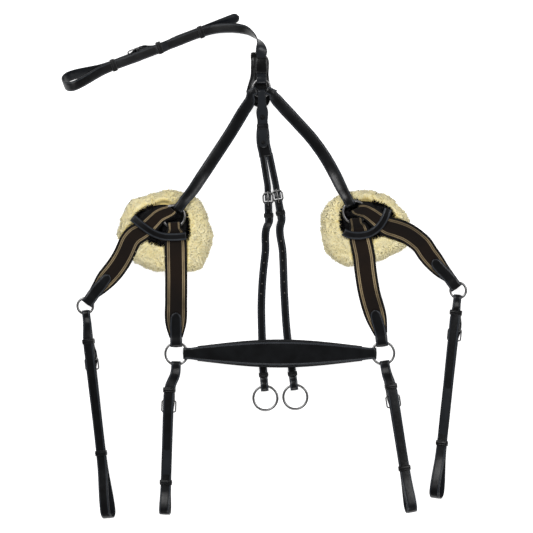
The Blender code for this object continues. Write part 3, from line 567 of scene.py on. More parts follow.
def keeper_shape(where, half, low, high, length):
    """A leather loop round a strap's layers, its edges rounded over. The frame's Y runs along the strap."""
    inner, outer, bulge = 0.0003, KEEPER_LEATHER + 0.0003, 0.0003
    rim = length / 2
    section = (
        (-rim + 0.0003, inner), (-rim, inner + 0.0004), (-rim + 0.0002, outer - 0.0003),
        (-rim + 0.0008, outer),
        (-rim + 0.0018, outer), (-rim + 0.0022, outer - 0.0002), (-rim + 0.0027, outer), (0.0, outer + bulge),
        (rim - 0.0027, outer), (rim - 0.0022, outer - 0.0002), (rim - 0.0018, outer), (rim - 0.0008, outer),
        (rim - 0.0002, outer - 0.0003), (rim, inner + 0.0004), (rim - 0.0003, inner),
    )
    corner = 0.0009
    base = rounded_rectangle(half, low, high, corner)
    wide = rounded_rectangle(half + 1.0, low - 1.0, high + 1.0, corner + 1.0)
    points = []
    for (x, z), (far_x, far_z) in zip(base, wide):
        out = Vector((far_x - x, 0, far_z - z))
        for y, off in section:
            points.append(where @ (Vector((x, y, z)) + out * off))
    return points, [tuple(reversed(face)) for face in side_faces(len(base), len(section), closed=True)]


def sew_keeper(name, where, half, low, high, length, body, stands_for=()):
    points, faces = keeper_shape(where, half, low, high, length)
    return make_piece(name, points, faces, BLACK_LEATHER, body, stands_for)


def smooth_outline(points, steps=8):
    """A closed smooth outline through points, evenly enough spaced."""
    spots = np.array(points, float)
    before, after = np.roll(spots, 1, axis=0), np.roll(spots, -1, axis=0)
    slope = (after - before) / 2
    made = []
    for i in range(len(spots)):
        j = (i + 1) % len(spots)
        for k in range(steps):
            t = k / steps
            made.append(
                (2 * t**3 - 3 * t**2 + 1) * spots[i]
                + (t**3 - 2 * t**2 + t) * slope[i]
                + (-2 * t**3 + 3 * t**2) * spots[j]
                + (t**3 - t**2) * slope[j]
            )
    return np.array(made)


def shells(outline, levels):
    """A closed pad from an outline drawn in towards its middle: levels are (share of the way out, height)."""
    middle = outline.mean(axis=0)
    points = []
    size = len(outline)
    for share, height in levels:
        for spot in outline:
            flat = middle + (spot - middle) * share
            points.append((flat[0], flat[1], height))
    faces = side_faces(len(levels), size)
    for level, flip in ((0, True), (len(levels) - 1, False)):
        points.append((middle[0], middle[1], levels[level][1]))
        hub = len(points) - 1
        for k in range(size):
            face = (level * size + k, level * size + (k + 1) % size, hub)
            faces.append(tuple(reversed(face)) if flip else face)
    return points, faces


def anticlockwise(outline):
    """The outline, turned round if it runs clockwise, so that its pad's faces point outwards."""
    x, y = outline[:, 0], outline[:, 1]
    clockwise = (x * np.roll(y, -1) - np.roll(x, -1) * y).sum() < 0
    return outline[::-1] if clockwise else outline


CHEST_PAD_OUTLINE = (
    (-0.022, 0.384), (0.006, 0.375), (0.008, 0.341), (0.011, 0.320), (0.011, 0.300),
    (0.004, 0.287), (-0.014, 0.286), (-0.028, 0.298), (-0.032, 0.314), (-0.025, 0.341),
    (-0.024, 0.366),
)
pad_outline = anticlockwise(smooth_outline(CHEST_PAD_OUTLINE))
CHEST_PAD_LEVELS = (
    (0.5, 0.0003), (0.94, 0.0003), (0.985, 0.0006), (1.0, 0.0014), (1.0, 0.0026), (0.985, 0.0034),
    (0.93, 0.0037), (0.86, 0.0034), (0.84, 0.0033), (0.80, 0.0042), (0.68, 0.0055), (0.45, 0.0061),
    (0.2, 0.0062),
)
pad_points, pad_faces = shells(pad_outline, CHEST_PAD_LEVELS)
chest_pad = make_piece(
    "chest_pad_leather", pad_points, pad_faces, BLACK_LEATHER, "base", ["chest_pad"]
)

# ------------------------------------------------------------------ belly strap
# A long bridle leather strap that goes between the forelegs: it is folded round the chest ring, runs under
# the sleeve, turns on its edge and comes back through its buckle, with two sewn keepers and a sliding one.

BELLY_END_HALF = 0.0085
BELLY_HALF = 0.0105
CHEST_RING_AT = Vector(RING_AT["chest_ring"])
BELLY_FOLD_AT = CHEST_RING_AT + compass(90) * CHEST_RING
BELLY_EXIT = Vector((-0.005, 0.3755, 0.0129))
BELLY_UNDER_Z = 0.0101
SLEEVE_LENGTH = 0.028
BELLY_START = Vector((-0.114, 0.420, 0.0130))
BELLY_HEADING = 200.9
BELLY_ROLL = math.radians(-38)
BELLY_PITCH = math.radians(2.5)
BELLY_BAR = 0.116
BELLY_END_S = 0.264
BELLY_LOOP = 0.178
BELLY_LOOP_HEIGHT = 0.0165
BELLY_RUNNER = 0.080
BELLY_LEAD = (
    ((-0.005, 0.3760, 0.0129), (-1.0, 0.0, 0.0)),
    ((-0.005, 0.3850, 0.0130), (-0.98, -0.05, 0.15)),
    ((-0.0065, 0.3950, 0.0125), (-0.75, -0.15, 0.64)),
    ((-0.0100, 0.4040, 0.0130), (-0.35, 0.05, 0.93)),
    ((-0.0180, 0.4130, 0.0130), (-0.05, 0.35, 0.93)),
    ((-0.0310, 0.4225, 0.0125), (-0.10, 0.68, 0.72)),
    ((-0.0500, 0.4270, 0.0122), (-0.05, 0.78, 0.62)),
    ((-0.0690, 0.4275, 0.0120), (-0.05, 0.79, 0.61)),
    ((-0.0900, 0.4255, 0.0120), (-0.15, 0.78, 0.61)),
)
BUCKLE_LENGTH = 0.020
BUCKLE_WIRE = 0.0014
TONGUE_WIRE = 0.001
# buckle wire is drawn at this share of its solid's thickness
DRAWN = 0.97
BUCKLE_BESIDE = 0.0032
BAR_OFF = 0.0044
BAR_FOLD = 0.003
TAIL_OVER_BAR = 0.0101
TONGUE_TURN = TONGUE_WIRE + BUCKLE_WIRE + 0.00035


def chape_points(bar, half):
    """Leather from beside the ring to the buckle bar, round it, and its short sewn end."""
    turn = arc(bar, -LAYER - BAR_FOLD, BAR_FOLD, 90, -90, 12)
    return [(s, off, half) for s, off in turn] + [(bar - 0.0095, -LAYER - BAR_FOLD - 0.0009, half)]


def tail_points(bar, end, half):
    """A strap's tail: over the buckle bar and under its far side."""
    length = BUCKLE_LENGTH
    path = (
        (end, -LAYER * 3 - 0.0004), (bar - 0.020, -LAYER * 3 - 0.0008),
        (bar - 0.012, -TAIL_OVER_BAR + 0.0006),
        (bar - 0.009, -TAIL_OVER_BAR), (bar + 0.003, -TAIL_OVER_BAR), (bar + length * 0.42, -0.0072),
        (bar + length * 0.70, -0.0032), (bar + length * 0.86, -0.0018), (bar + length, -LAYER),
        (bar + length + 0.008, -LAYER),
    )
    return [(s, n, half) for s, n in path]


def loop_points(start, end, height, half):
    """The open loop at a strap's end, from its back layer round to its front layer."""
    middle = end - height
    rises = [start + (middle - start) * i / 5 for i in range(6)]
    off = [LAYER + (height - LAYER) * smooth(i / 5) for i in range(6)]
    back = [(s, -n, half) for s, n in zip(rises, off)]
    bend = [(s, n, half) for s, n in arc(middle, 0, height, -90, 90, 16)]
    front = [(s, n, half) for s, n in zip(reversed(rises), reversed(off))]
    return back[:-1] + bend + front[1:]


def hang_buckle(name, where, half, body, stands_for):
    """A buckle frame of bent wire, with its bar at the frame's origin."""
    outline = rounded_rectangle(half + BUCKLE_BESIDE, 0.0, BUCKLE_LENGTH, 0.003, 6)
    points, faces = bent_wire([(x, y, 0.0) for x, y in outline], BUCKLE_WIRE * DRAWN, True)
    make_piece(name, [where @ p for p in points], faces, NICKEL, body, [stands_for])


def hang_tongue(name, where, path, body, stands_for):
    points, faces = bent_wire(path, TONGUE_WIRE * DRAWN, False, 10)
    make_piece(name, [where @ p for p in points], faces, NICKEL, body, [stands_for])


def strap_tongue_path():
    path = [(0.0, s, n) for s, n in arc(0, 0, TONGUE_TURN, 60, 270, 12)]
    return path + [(0.0, BUCKLE_LENGTH * k, -TONGUE_TURN) for k in (0.2, 0.4, 0.75, 1.04)]


belly_frame = heading_frame(BELLY_START, compass(BELLY_HEADING), BELLY_PITCH)
half = BELLY_HALF
straight = -LAYER - 0.0001
tail = tail_points(BELLY_BAR, BELLY_BAR - 0.024, half)
belly_points = [(-0.0745, straight - 0.0012, half), (-0.066, straight - 0.0012, half)]
belly_points += [(-0.030, straight - 0.0006, half), (0.0, straight, half), (0.04, straight, half)]
belly_points += [(BELLY_BAR - 0.022, straight, half), (BELLY_BAR - 0.016, -0.0062, half)] + tail[2:]
belly_points += loop_points(BELLY_LOOP, BELLY_END_S, BELLY_LOOP_HEIGHT, half)
belly_points += [(BELLY_BAR + BUCKLE_LENGTH, LAYER, half), (BELLY_BAR, LAYER, half), (0.05, LAYER, half)]
belly_points += [(0.0, LAYER, half)]
belly_stations = section_stations(belly_frame, belly_points, half, lambda s: BELLY_ROLL)
for spot, across in reversed(BELLY_LEAD):
    belly_stations.append((Vector(spot), Vector(across).normalized() * half))
belly_stations[-1] = (belly_stations[-1][0], belly_stations[-1][1] * (BELLY_END_HALF / BELLY_HALF))
# the end that lies under the sleeve and goes round the chest ring
end_frame = heading_frame(BELLY_FOLD_AT, (0, 1))
end_radius = RING_WIRE + SLACK + LEATHER / 2
end_low, end_high = BELLY_UNDER_Z - CHEST_RING_AT.z, BELLY_EXIT.z - CHEST_RING_AT.z
end_run = BELLY_EXIT.y - BELLY_FOLD_AT.y
end_points = [(end_run - 0.006, end_high), (0.010, end_high), (0.003, end_radius)]
end_points += arc(-sag(BELLY_END_HALF, CHEST_RING) - SLACK, 0, end_radius, 90, 270)
end_points += [(0.003, -end_radius), (0.010, end_low), (end_run - 0.004, end_low)]
belly_stations += [
    (middle, -across) for middle, across in section_stations(end_frame, end_points, BELLY_END_HALF)
]
belly_leather = lay_strap(
    "belly_strap_leather", belly_stations, LEATHER, None, ["belly_strap", "belly_strap_end"], grain=-1,
    tips=("round", "cut"),
)
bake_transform(belly_leather)

sleeve_frame = heading_frame(Vector((-0.005, 0.3600, 0.0)), (0, 1))
sew_keeper(
    "chest_pad_sleeve_leather", sleeve_frame, BELLY_END_HALF, BELLY_UNDER_Z - LEATHER / 2,
    BELLY_EXIT.z + LEATHER / 2, SLEEVE_LENGTH, "base", ["chest_pad_sleeve"],
)
belly_rolled = Matrix.Rotation(BELLY_ROLL, 4, "Y")
belly_bar_frame = belly_frame @ Matrix.Translation((0, BELLY_BAR, 0)) @ belly_rolled
belly_bar_frame = belly_bar_frame @ Matrix.Translation((0, 0, -BAR_OFF))
hang_buckle("belly_buckle_plated", belly_bar_frame, half, "belly", "belly_buckle")
hang_tongue("belly_tongue_plated", belly_bar_frame, strap_tongue_path(), "belly_tongue", "belly_tongue")
chape = [(BELLY_BAR - 0.018, -LAYER, half)] + chape_points(BELLY_BAR, half)
chape_stations = section_stations(belly_frame, chape, half, lambda s: BELLY_ROLL)
lay_strap(
    "belly_buckle_chape_leather", chape_stations, LEATHER, "belly", ["belly_buckle_chape"], profile=PLAIN
)
belly_reach = LAYER + LEATHER / 2 + 0.0001
for keeper_name, keeper_at, keeper_body, keeper_node in (
    ("belly_keeper_first", 0.0, "belly", ()),
    ("belly_runner_leather", BELLY_RUNNER, "belly_runner", ["belly_runner"]),
    ("belly_keeper_last", 0.168, "belly", ()),
):
    keeper_frame = belly_frame @ Matrix.Translation((0, keeper_at, 0)) @ belly_rolled
    sew_keeper(keeper_name, keeper_frame, half, -belly_reach, belly_reach, 0.009, keeper_body, keeper_node)

# ------------------------------------------------------------------ shoulder straps
# A raised face of bridle leather on a wider lining, sewn together along both edges, with each end folded
# round a ring. The lining shows as a second dark edge beside the face.

SHOULDER_LEATHER = 0.003
SHOULDER_HALF = 0.011
SHOULDER_ROUTE = {
    "left": (
        (-0.026, 0.296, 0.0145), (-0.037, 0.278, 0.011), (-0.058, 0.243, 0.006),
        (-0.088, 0.197, 0.004), (-0.113, 0.159, 0.009), (-0.128, 0.136, 0.019),
    ),
    "right": (
        (0.019, 0.302, 0.0145), (0.032, 0.287, 0.011), (0.059, 0.258, 0.006),
        (0.086, 0.228, 0.004), (0.109, 0.196, 0.004), (0.128, 0.162, 0.009), (0.138, 0.141, 0.019),
    ),
}
CHEST_SIDE = {"left": -156, "right": -22}
SHOULDER_SIDE = {"left": 57, "right": 118}
RAISED = (
    (0.0, 0.1, 0.0), (0.0003, 0.4, 0.0), (0.0012, 0.5, 0.0), (0.0021, 0.5, 0.0), (0.0024, 1.0, 0.0),
    (0.0030, 1.25, 0.0), (0.0040, 1.4, 0.0), (0.0046, 1.34, 0.0), (0.0052, 1.45, 0.0),
)


def plan_stations(route, halves):
    """Stations of a strap along a route, its width level and square to its heading."""
    stations = []
    spots = [Vector(spot) for spot in route]
    for i, spot in enumerate(spots):
        heading = spots[min(i + 1, len(spots) - 1)] - spots[max(i - 1, 0)]
        across = Vector((heading.y, -heading.x, 0.0)).normalized()
        stations.append((spot, across * halves[i]))
    return stations


def fold_points(radius, shift, half, lead, layer, stub):
    """(along, off, half) from the end of a stub under a wire, round it, to the layer over it."""
    under = [(stub, -layer, half), (lead, -layer, half), (lead * 0.3, -radius, half)]
    bend = [(s, n, half) for s, n in arc(-shift, 0, radius, -90, -270)]
    return under + bend + [(lead * 0.3, radius, half)]


def ring_end(at, ring_radius, direction, half, thickness, stub, layer, lead=0.012):
    """Stations of a strap's end round a ring's wire, from the stub under it to the face over it."""
    where = heading_frame(at + direction * ring_radius, direction)
    radius = RING_WIRE + SLACK + thickness / 2
    shift = sag(half, ring_radius) + SLACK
    return section_stations(where, fold_points(radius, shift, half, lead, layer, stub), half)


def turned_back(stations):
    return [(middle, -half) for middle, half in reversed(stations)]


for side in SIDES:
    route = SHOULDER_ROUTE[side]
    halves = [0.0100] + [SHOULDER_HALF] * (len(route) - 2) + [0.0105]
    over = RING_WIRE + SLACK + SHOULDER_LEATHER / 2
    shoulder_at = Vector(RING_AT[f"shoulder_ring_{side}"])
    chest = ring_end(
        CHEST_RING_AT, CHEST_RING, compass(CHEST_SIDE[side]), 0.0072, SHOULDER_LEATHER, 0.008, over
    )
    shoulder = ring_end(
        shoulder_at, BIG_RING, compass(SHOULDER_SIDE[side]), 0.0092, SHOULDER_LEATHER, 0.008, over
    )
    stations = chest + plan_stations(route, halves) + turned_back(shoulder)
    seams = [seam_line(stations, 0.0013, 0.0009, k, skip=(0.034, 0.034)) for k in (-1, 1)]
    sew(f"shoulder_strap_{side}_stitches", seams, "base")
    lay_strap(
        f"shoulder_strap_{side}_leather", stations, SHOULDER_LEATHER, "base", [f"shoulder_strap_{side}"],
        profile=RAISED, crown=0.0009,
    )

# ------------------------------------------------------------------ fork of the martingale attachment
# One piece of bridle leather: folded round the chest ring, closed by a tab on two press studs, held by a
# keeper, and split into two tails that carry the buckles.

FORK_FOLD_AT = CHEST_RING_AT + compass(-88) * CHEST_RING
FORK_PITCH = math.radians(-2.6)
FORK_SLACK = 0.008
FORK_SPLIT = 0.108
FORK_NARROW = 0.0052
FORK_LEAN = 0.0042
TAIL_HALF = 0.006
TAIL_APART = 0.006
MARTINGALE_BAR_LENGTH = 0.020
MARTINGALE_BUCKLE = {
    "left": (Vector((0.0065, 0.1310, 0.0096)), -88.0, -0.5),
    "right": (Vector((0.0225, 0.1350, 0.0049)), -80.5, 0.0),
}
fork_frame = heading_frame(FORK_FOLD_AT, (0.03, -1), FORK_PITCH)
fork_radius = RING_WIRE + SLACK + LEATHER / 2
fork_shift = sag(FORK_NARROW, CHEST_RING) + FORK_SLACK
fork_points = [
    (0.0925, LAYER + 0.001, 0.0075), (0.078, LAYER + 0.0006, 0.0078), (0.060, LAYER, 0.0085),
    (0.020, LAYER, 0.0090),
]
fork_points += [
    (0.012, LAYER + 0.001, 0.0075), (0.004, fork_radius, 0.0072), (-fork_shift + 0.003, fork_radius, 0.0070)
]
fork_points += [(s, n, 0.0068) for s, n in arc(-fork_shift, 0, fork_radius, 90, 270)]
fork_points += [
    (0.004, -fork_radius, FORK_NARROW), (0.012, -LAYER - 0.001, FORK_NARROW), (0.020, -LAYER, 0.0092)
]
fork_points += [(0.050, -LAYER, 0.0095), (0.062, -LAYER, 0.0115), (0.085, -LAYER, 0.0120)]
fork_points += [(0.100, -LAYER, 0.0120), (FORK_SPLIT, -LAYER, 0.0120)]


def fork_leans(s):
    """How far the fork leans to the right, towards its tails, over the last 28 mm before the split."""
    return -FORK_LEAN * smooth((s - 0.080) / 0.030)


fork_stations = section_stations(fork_frame, fork_points, FORK_NARROW, None, fork_leans)


def martingale_bar(side):
    at, heading, pitch = MARTINGALE_BUCKLE[side]
    return heading_frame(at, compass(heading), math.radians(pitch))


def fork_tail(side, split):
    """Stations of a fork tail, from the split, under its buckle's near bar and up inside the frame."""
    bar = martingale_bar(side)
    # the fork's own frame looks down the chest, so its X runs to the left
    aside = TAIL_APART if side == "left" else -TAIL_APART
    start = split + fork_frame.to_3x3() @ Vector((aside, -0.006, -0.0002))
    under = -BUCKLE_WIRE - LEATHER / 2 - 0.0003
    above = bar @ Vector((0, -0.012, under + 0.001))
    across = bar.to_3x3() @ Vector((TAIL_HALF, 0, 0))
    stations = [(start.lerp(above, k), across * (1 + 0.02 * (1 - k))) for k in (0.0, 0.12, 0.35, 0.7)]
    path = [
        (-0.010, under + 0.0006), (-0.003, under), (0.002, under), (0.007, -0.0006), (0.011, 0.0006),
        (0.0148, 0.0008),
    ]
    return stations + section_stations(bar, path, TAIL_HALF)


def joined(shapes):
    """Several strap shapes as one: points, faces and distances from the edge."""
    points, faces, gaps = [], [], []
    for shape in shapes:
        start = len(points)
        points += shape[0]
        faces += [tuple(i + start for i in face) for face in shape[1]]
        gaps += shape[3]
    return points, faces, gaps


fork_shapes = [strap_shape(fork_stations, LEATHER, tips=("round", "cut"))]
for side in SIDES:
    fork_shapes.append(strap_shape(fork_tail(side, fork_stations[-1][0]), LEATHER))
fork_leather, fork_leather_faces, fork_gaps = joined(fork_shapes)
make_piece(
    "martingale_fork_leather", fork_leather, fork_leather_faces, BLACK_LEATHER, "fork",
    ["martingale_fork"], gaps=fork_gaps,
)


def turned_profile(where, profile, sides=20):
    """A round piece turned from (radius, height) pairs, about a frame's Z."""
    points = []
    for radius, height in profile:
        for k in range(sides):
            a = math.tau * k / sides
            points.append(where @ Vector((radius * math.cos(a), radius * math.sin(a), height)))
    return points, side_faces(len(profile), sides) + end_caps(len(profile), sides)


STUD = (
    (0.0044, 0.0), (0.0045, 0.0004), (0.0040, 0.0008), (0.0034, 0.0007), (0.0031, 0.0010), (0.0022, 0.0015),
    (0.0008, 0.0018),
)
for stud_name, stud_s in (("fork_stud_upper", 0.037), ("fork_stud_tab", 0.083)):
    stud_frame = fork_frame @ Matrix.Translation((0, stud_s, LAYER + LEATHER / 2))
    stud_points, stud_faces = turned_profile(stud_frame, STUD)
    make_piece(stud_name, stud_points, stud_faces, LINING, "fork")
fork_keeper_frame = fork_frame @ Matrix.Translation((0, 0.0535, 0))
fork_reach = LAYER + LEATHER / 2 + 0.0001
sew_keeper("fork_keeper", fork_keeper_frame, 0.0088, -fork_reach, fork_reach, 0.010, "fork")

# ------------------------------------------------------------------ martingale straps
# Two narrow adjusting straps, each buckled to a fork tail and folded round a rein ring. Each has a keeper
# below its buckle and one above its ring, and holes about 19 mm apart.

MARTINGALE_HALF = 0.007
MARTINGALE_SIDE = 0.0088
MARTINGALE_WIRE = BUCKLE_WIRE * 1.2
MARTINGALE_CORNER = 0.0068
HOLE_RADIUS = 0.0011
MARTINGALE_ROUTE = {
    "left": (
        (0.0050, 0.070, 0.0082), (0.0020, 0.024, 0.0045), (-0.0020, -0.013, 0.0035),
        (-0.0050, -0.062, 0.0034),
        (-0.0040, -0.132, 0.0034), (-0.0025, -0.180, 0.0044),
    ),
    "right": (
        (0.0285, 0.070, 0.0042), (0.0330, 0.026, 0.0036), (0.0360, -0.049, 0.0034), (0.0420, -0.132, 0.0034),
        (0.0490, -0.180, 0.0044),
    ),
}
LOOP_HANGS = 0.0035


def punch_nodes():
    """A tree that sets a punched hole at each point."""
    tree, given, out = started_tree("punched holes")
    ids = {
        "radius": group_input(tree, "NodeSocketFloat", "Hole radius", HOLE_RADIUS),
        "finish": group_input(tree, "NodeSocketMaterial", "Hole"),
    }
    hole = add(
        tree, "GeometryNodeMeshCylinder", {"Vertices": 12, "Depth": 0.0003},
        {"Radius": given.outputs["Hole radius"]},
    )
    placed = add(
        tree, "GeometryNodeInstanceOnPoints",
        links={"Points": given.outputs["Geometry"], "Instance": hole.outputs["Mesh"]},
    )
    end_tree(tree, placed.outputs[0], given, out, "Hole")
    return tree, ids


# cut fibres inside a punched hole: undyed, dry and pale, so that the hole shows as a light dot
RAW_LEATHER = fibre_finish("raw leather in a punched hole", 700.0, "#4a4845", "#77736e", 0.8)
PUNCH_TREE, PUNCH_INPUTS = punch_nodes()


def punch(name, strap, spots, body):
    """Holes in the top of a strap, at places seen from above."""
    skin = BVHTree.FromPolygons(
        [v.co for v in strap.data.vertices], [p.vertices for p in strap.data.polygons]
    )
    hits = [skin.ray_cast(Vector((x, y, 0.2)), Vector((0, 0, -1)))[0] for x, y in spots]
    found = [hit for hit in hits if hit]
    seeds = bpy.data.meshes.new(name)
    seeds.from_pydata([tuple(hit) for hit in found], [], [])
    values = {PUNCH_INPUTS["radius"]: HOLE_RADIUS, PUNCH_INPUTS["finish"]: RAW_LEATHER}
    return link_grown(name, grow(name, seeds, PUNCH_TREE, values), body)


MARTINGALE_HOLES = {
    "left": (
        (0.0037, 0.0436), (0.0019, 0.0243), (-0.0010, 0.0054), (-0.0023, -0.0130), (-0.0042, -0.0322),
        (-0.0059, -0.0502),
    ),
    "right": (
        (0.0301, 0.0448), (0.0327, 0.0265), (0.0327, 0.0099), (0.0343, -0.0088), (0.0357, -0.0286),
        (0.0365, -0.0488),
    ),
}
for side in SIDES:
    bar = martingale_bar(side)
    flipped = bar @ Matrix.Rotation(math.pi, 4, "Y")
    outline = rounded_rectangle(MARTINGALE_SIDE, 0.0, MARTINGALE_BAR_LENGTH, MARTINGALE_CORNER, 8)
    points, faces = bent_wire([(x, y, 0.0) for x, y in outline], MARTINGALE_WIRE, True)
    make_piece(
        f"martingale_buckle_{side}_plated", [flipped @ p for p in points], faces, NICKEL, "fork",
        [f"martingale_buckle_{side}"],
    )
    rest_off = -(BUCKLE_WIRE + LEATHER + 0.0012 + TONGUE_WIRE)
    path = [(0.0, s, n) for s, n in arc(0, 0, TONGUE_TURN, 60, 250, 12)]
    path += [(0.0, 0.007, rest_off), (0.0, 0.014, rest_off), (0.0, 0.0225, rest_off)]
    hang_tongue(
        f"martingale_tongue_{side}_plated", flipped, path, f"martingale_tongue_{side}", f"martingale_tongue_{side}"
    )
    far = bar @ Matrix.Translation((0, MARTINGALE_BAR_LENGTH, 0))
    half = MARTINGALE_HALF
    radius = BUCKLE_WIRE + SLACK + LEATHER / 2
    points = [(0.034, -LAYER, half), (0.010, -LAYER, half), (0.003, -radius, half)]
    points += [(s, n, half) for s, n in arc(0, 0, radius, -90, -270)]
    points += [(0.003, radius, half), (0.010, LAYER, half), (0.034, LAYER, half)]
    top = section_stations(far, points, half)
    route = MARTINGALE_ROUTE[side]
    ring_at = Vector(RING_AT[f"martingale_ring_{side}"])
    direction = Vector((route[-1][0] - ring_at.x, route[-1][1] - ring_at.y, 0)).normalized()
    rein_frame = heading_frame(ring_at + direction * REIN_RING, direction)
    fold = RING_WIRE + sag(half, REIN_RING) + FOLD_GAP + LEATHER / 2
    low = 0.0015 - ring_at.z
    points = [(0.026, low, half), (0.012, low, half), (0.003, -fold, half)]
    points += [(s - LOOP_HANGS, n, half) for s, n in arc(0, 0, fold, -90, -270)]
    points += [(0.003, fold, half), (0.014, 0.0055 - ring_at.z, half), (0.026, 0.0047 - ring_at.z, half)]
    bottom = section_stations(rein_frame, points, half)
    stations = top + plan_stations(route, [half] * len(route)) + turned_back(bottom)
    strap = lay_strap(
        f"martingale_strap_{side}_leather", stations, LEATHER, f"martingale_{side}",
        [f"martingale_strap_{side}"],
    )
    punch(f"martingale_strap_{side}_holes", strap, MARTINGALE_HOLES[side], f"martingale_{side}")
    reach = LAYER + LEATHER / 2
    keeper_frame = far @ Matrix.Translation((0, 0.021, 0))
    sew_keeper(
        f"martingale_keeper_{side}_leather", keeper_frame, half, -reach, reach, 0.008, f"martingale_{side}",
        [f"martingale_keeper_{side}"],
    )
    ring_keeper = rein_frame @ Matrix.Translation((0, 0.0205, 0))
    sew_keeper(
        f"martingale_ring_keeper_{side}", ring_keeper, half, low - LEATHER / 2,
        0.0058 - ring_at.z + LEATHER / 2,
        0.008, f"martingale_{side}",
    )

# ------------------------------------------------------------------ sheepskin pads
# A round sheepskin pad lies under each shoulder ring, wool down and out at its rim, sewn to a black backing.
# Wool: cream, matt and soft, in short locks that lean outwards, with painted shade, darker and yellower, at their
# roots down between them.

PAD_TOP = 0.018
FLEECE_OUTLINE = {
    "left": (
        (-0.165, 0.134), (-0.119, 0.117), (-0.098, 0.070), (-0.096, 0.037), (-0.117, -0.005),
        (-0.150, -0.010), (-0.184, -0.010), (-0.228, 0.004), (-0.259, 0.040), (-0.262, 0.063),
        (-0.245, 0.109), (-0.215, 0.124),
    ),
    "right": (
        (0.176, 0.134), (0.196, 0.132), (0.222, 0.124), (0.241, 0.106), (0.261, 0.078),
        (0.257, 0.037), (0.204, 0.009), (0.158, -0.001), (0.115, 0.021), (0.104, 0.063),
        (0.106, 0.095), (0.133, 0.125),
    ),
}
BACKING_OUTLINE = {
    "left": (
        (-0.236, 0.086), (-0.220, 0.102), (-0.188, 0.113), (-0.152, 0.108), (-0.137, 0.091),
        (-0.133, 0.053), (-0.148, 0.036), (-0.188, 0.035), (-0.226, 0.053),
    ),
    "right": (
        (0.136, 0.093), (0.144, 0.109), (0.160, 0.118), (0.190, 0.118), (0.223, 0.107),
        (0.236, 0.088), (0.219, 0.058), (0.194, 0.047), (0.154, 0.050), (0.137, 0.064),
    ),
}


def sheepskin_wool():
    made, tree, shader = finish_named("cream sheepskin wool")
    where = add(tree, "ShaderNodeTexCoord")
    # lock_tip runs from a lock's root to its tip: the roots are painted darker and yellower as shade between the
    # locks; the clump noise is the wool's own patchy tone
    painted_root_shade = add(tree, "ShaderNodeAttribute", attribute_name="lock_tip")
    clump = add(
        tree, "ShaderNodeTexNoise", {"Scale": 70.0, "Detail": 4.0}, {"Vector": where.outputs["Object"]}
    )
    root_shade_and_tone = add(
        tree, "ShaderNodeMath", links={0: painted_root_shade.outputs["Fac"], 1: clump.outputs["Fac"]}, operation="ADD"
    )
    tone = add(tree, "ShaderNodeValToRGB", links={"Fac": add(
        tree, "ShaderNodeMapRange", {"From Min": 0.2, "From Max": 1.5}, {"Value": root_shade_and_tone.outputs["Value"]}
    ).outputs["Result"]})
    stops = tone.color_ramp
    stops.elements[0].position, stops.elements[0].color = 0.0, colour("#e4c66c")
    stops.elements[1].position, stops.elements[1].color = 1.0, colour("#fff5cc")
    stops.elements.new(0.45).color = colour("#f9e8a4")
    tree.links.new(tone.outputs["Color"], shader.inputs["Base Color"])
    shader.inputs["Roughness"].default_value = 0.9
    shader.inputs["Specular IOR Level"].default_value = 0.1
    shader.inputs["Sheen Weight"].default_value = 0.25
    shader.inputs["Sheen Roughness"].default_value = 0.6
    return made


WOOL = sheepskin_wool()


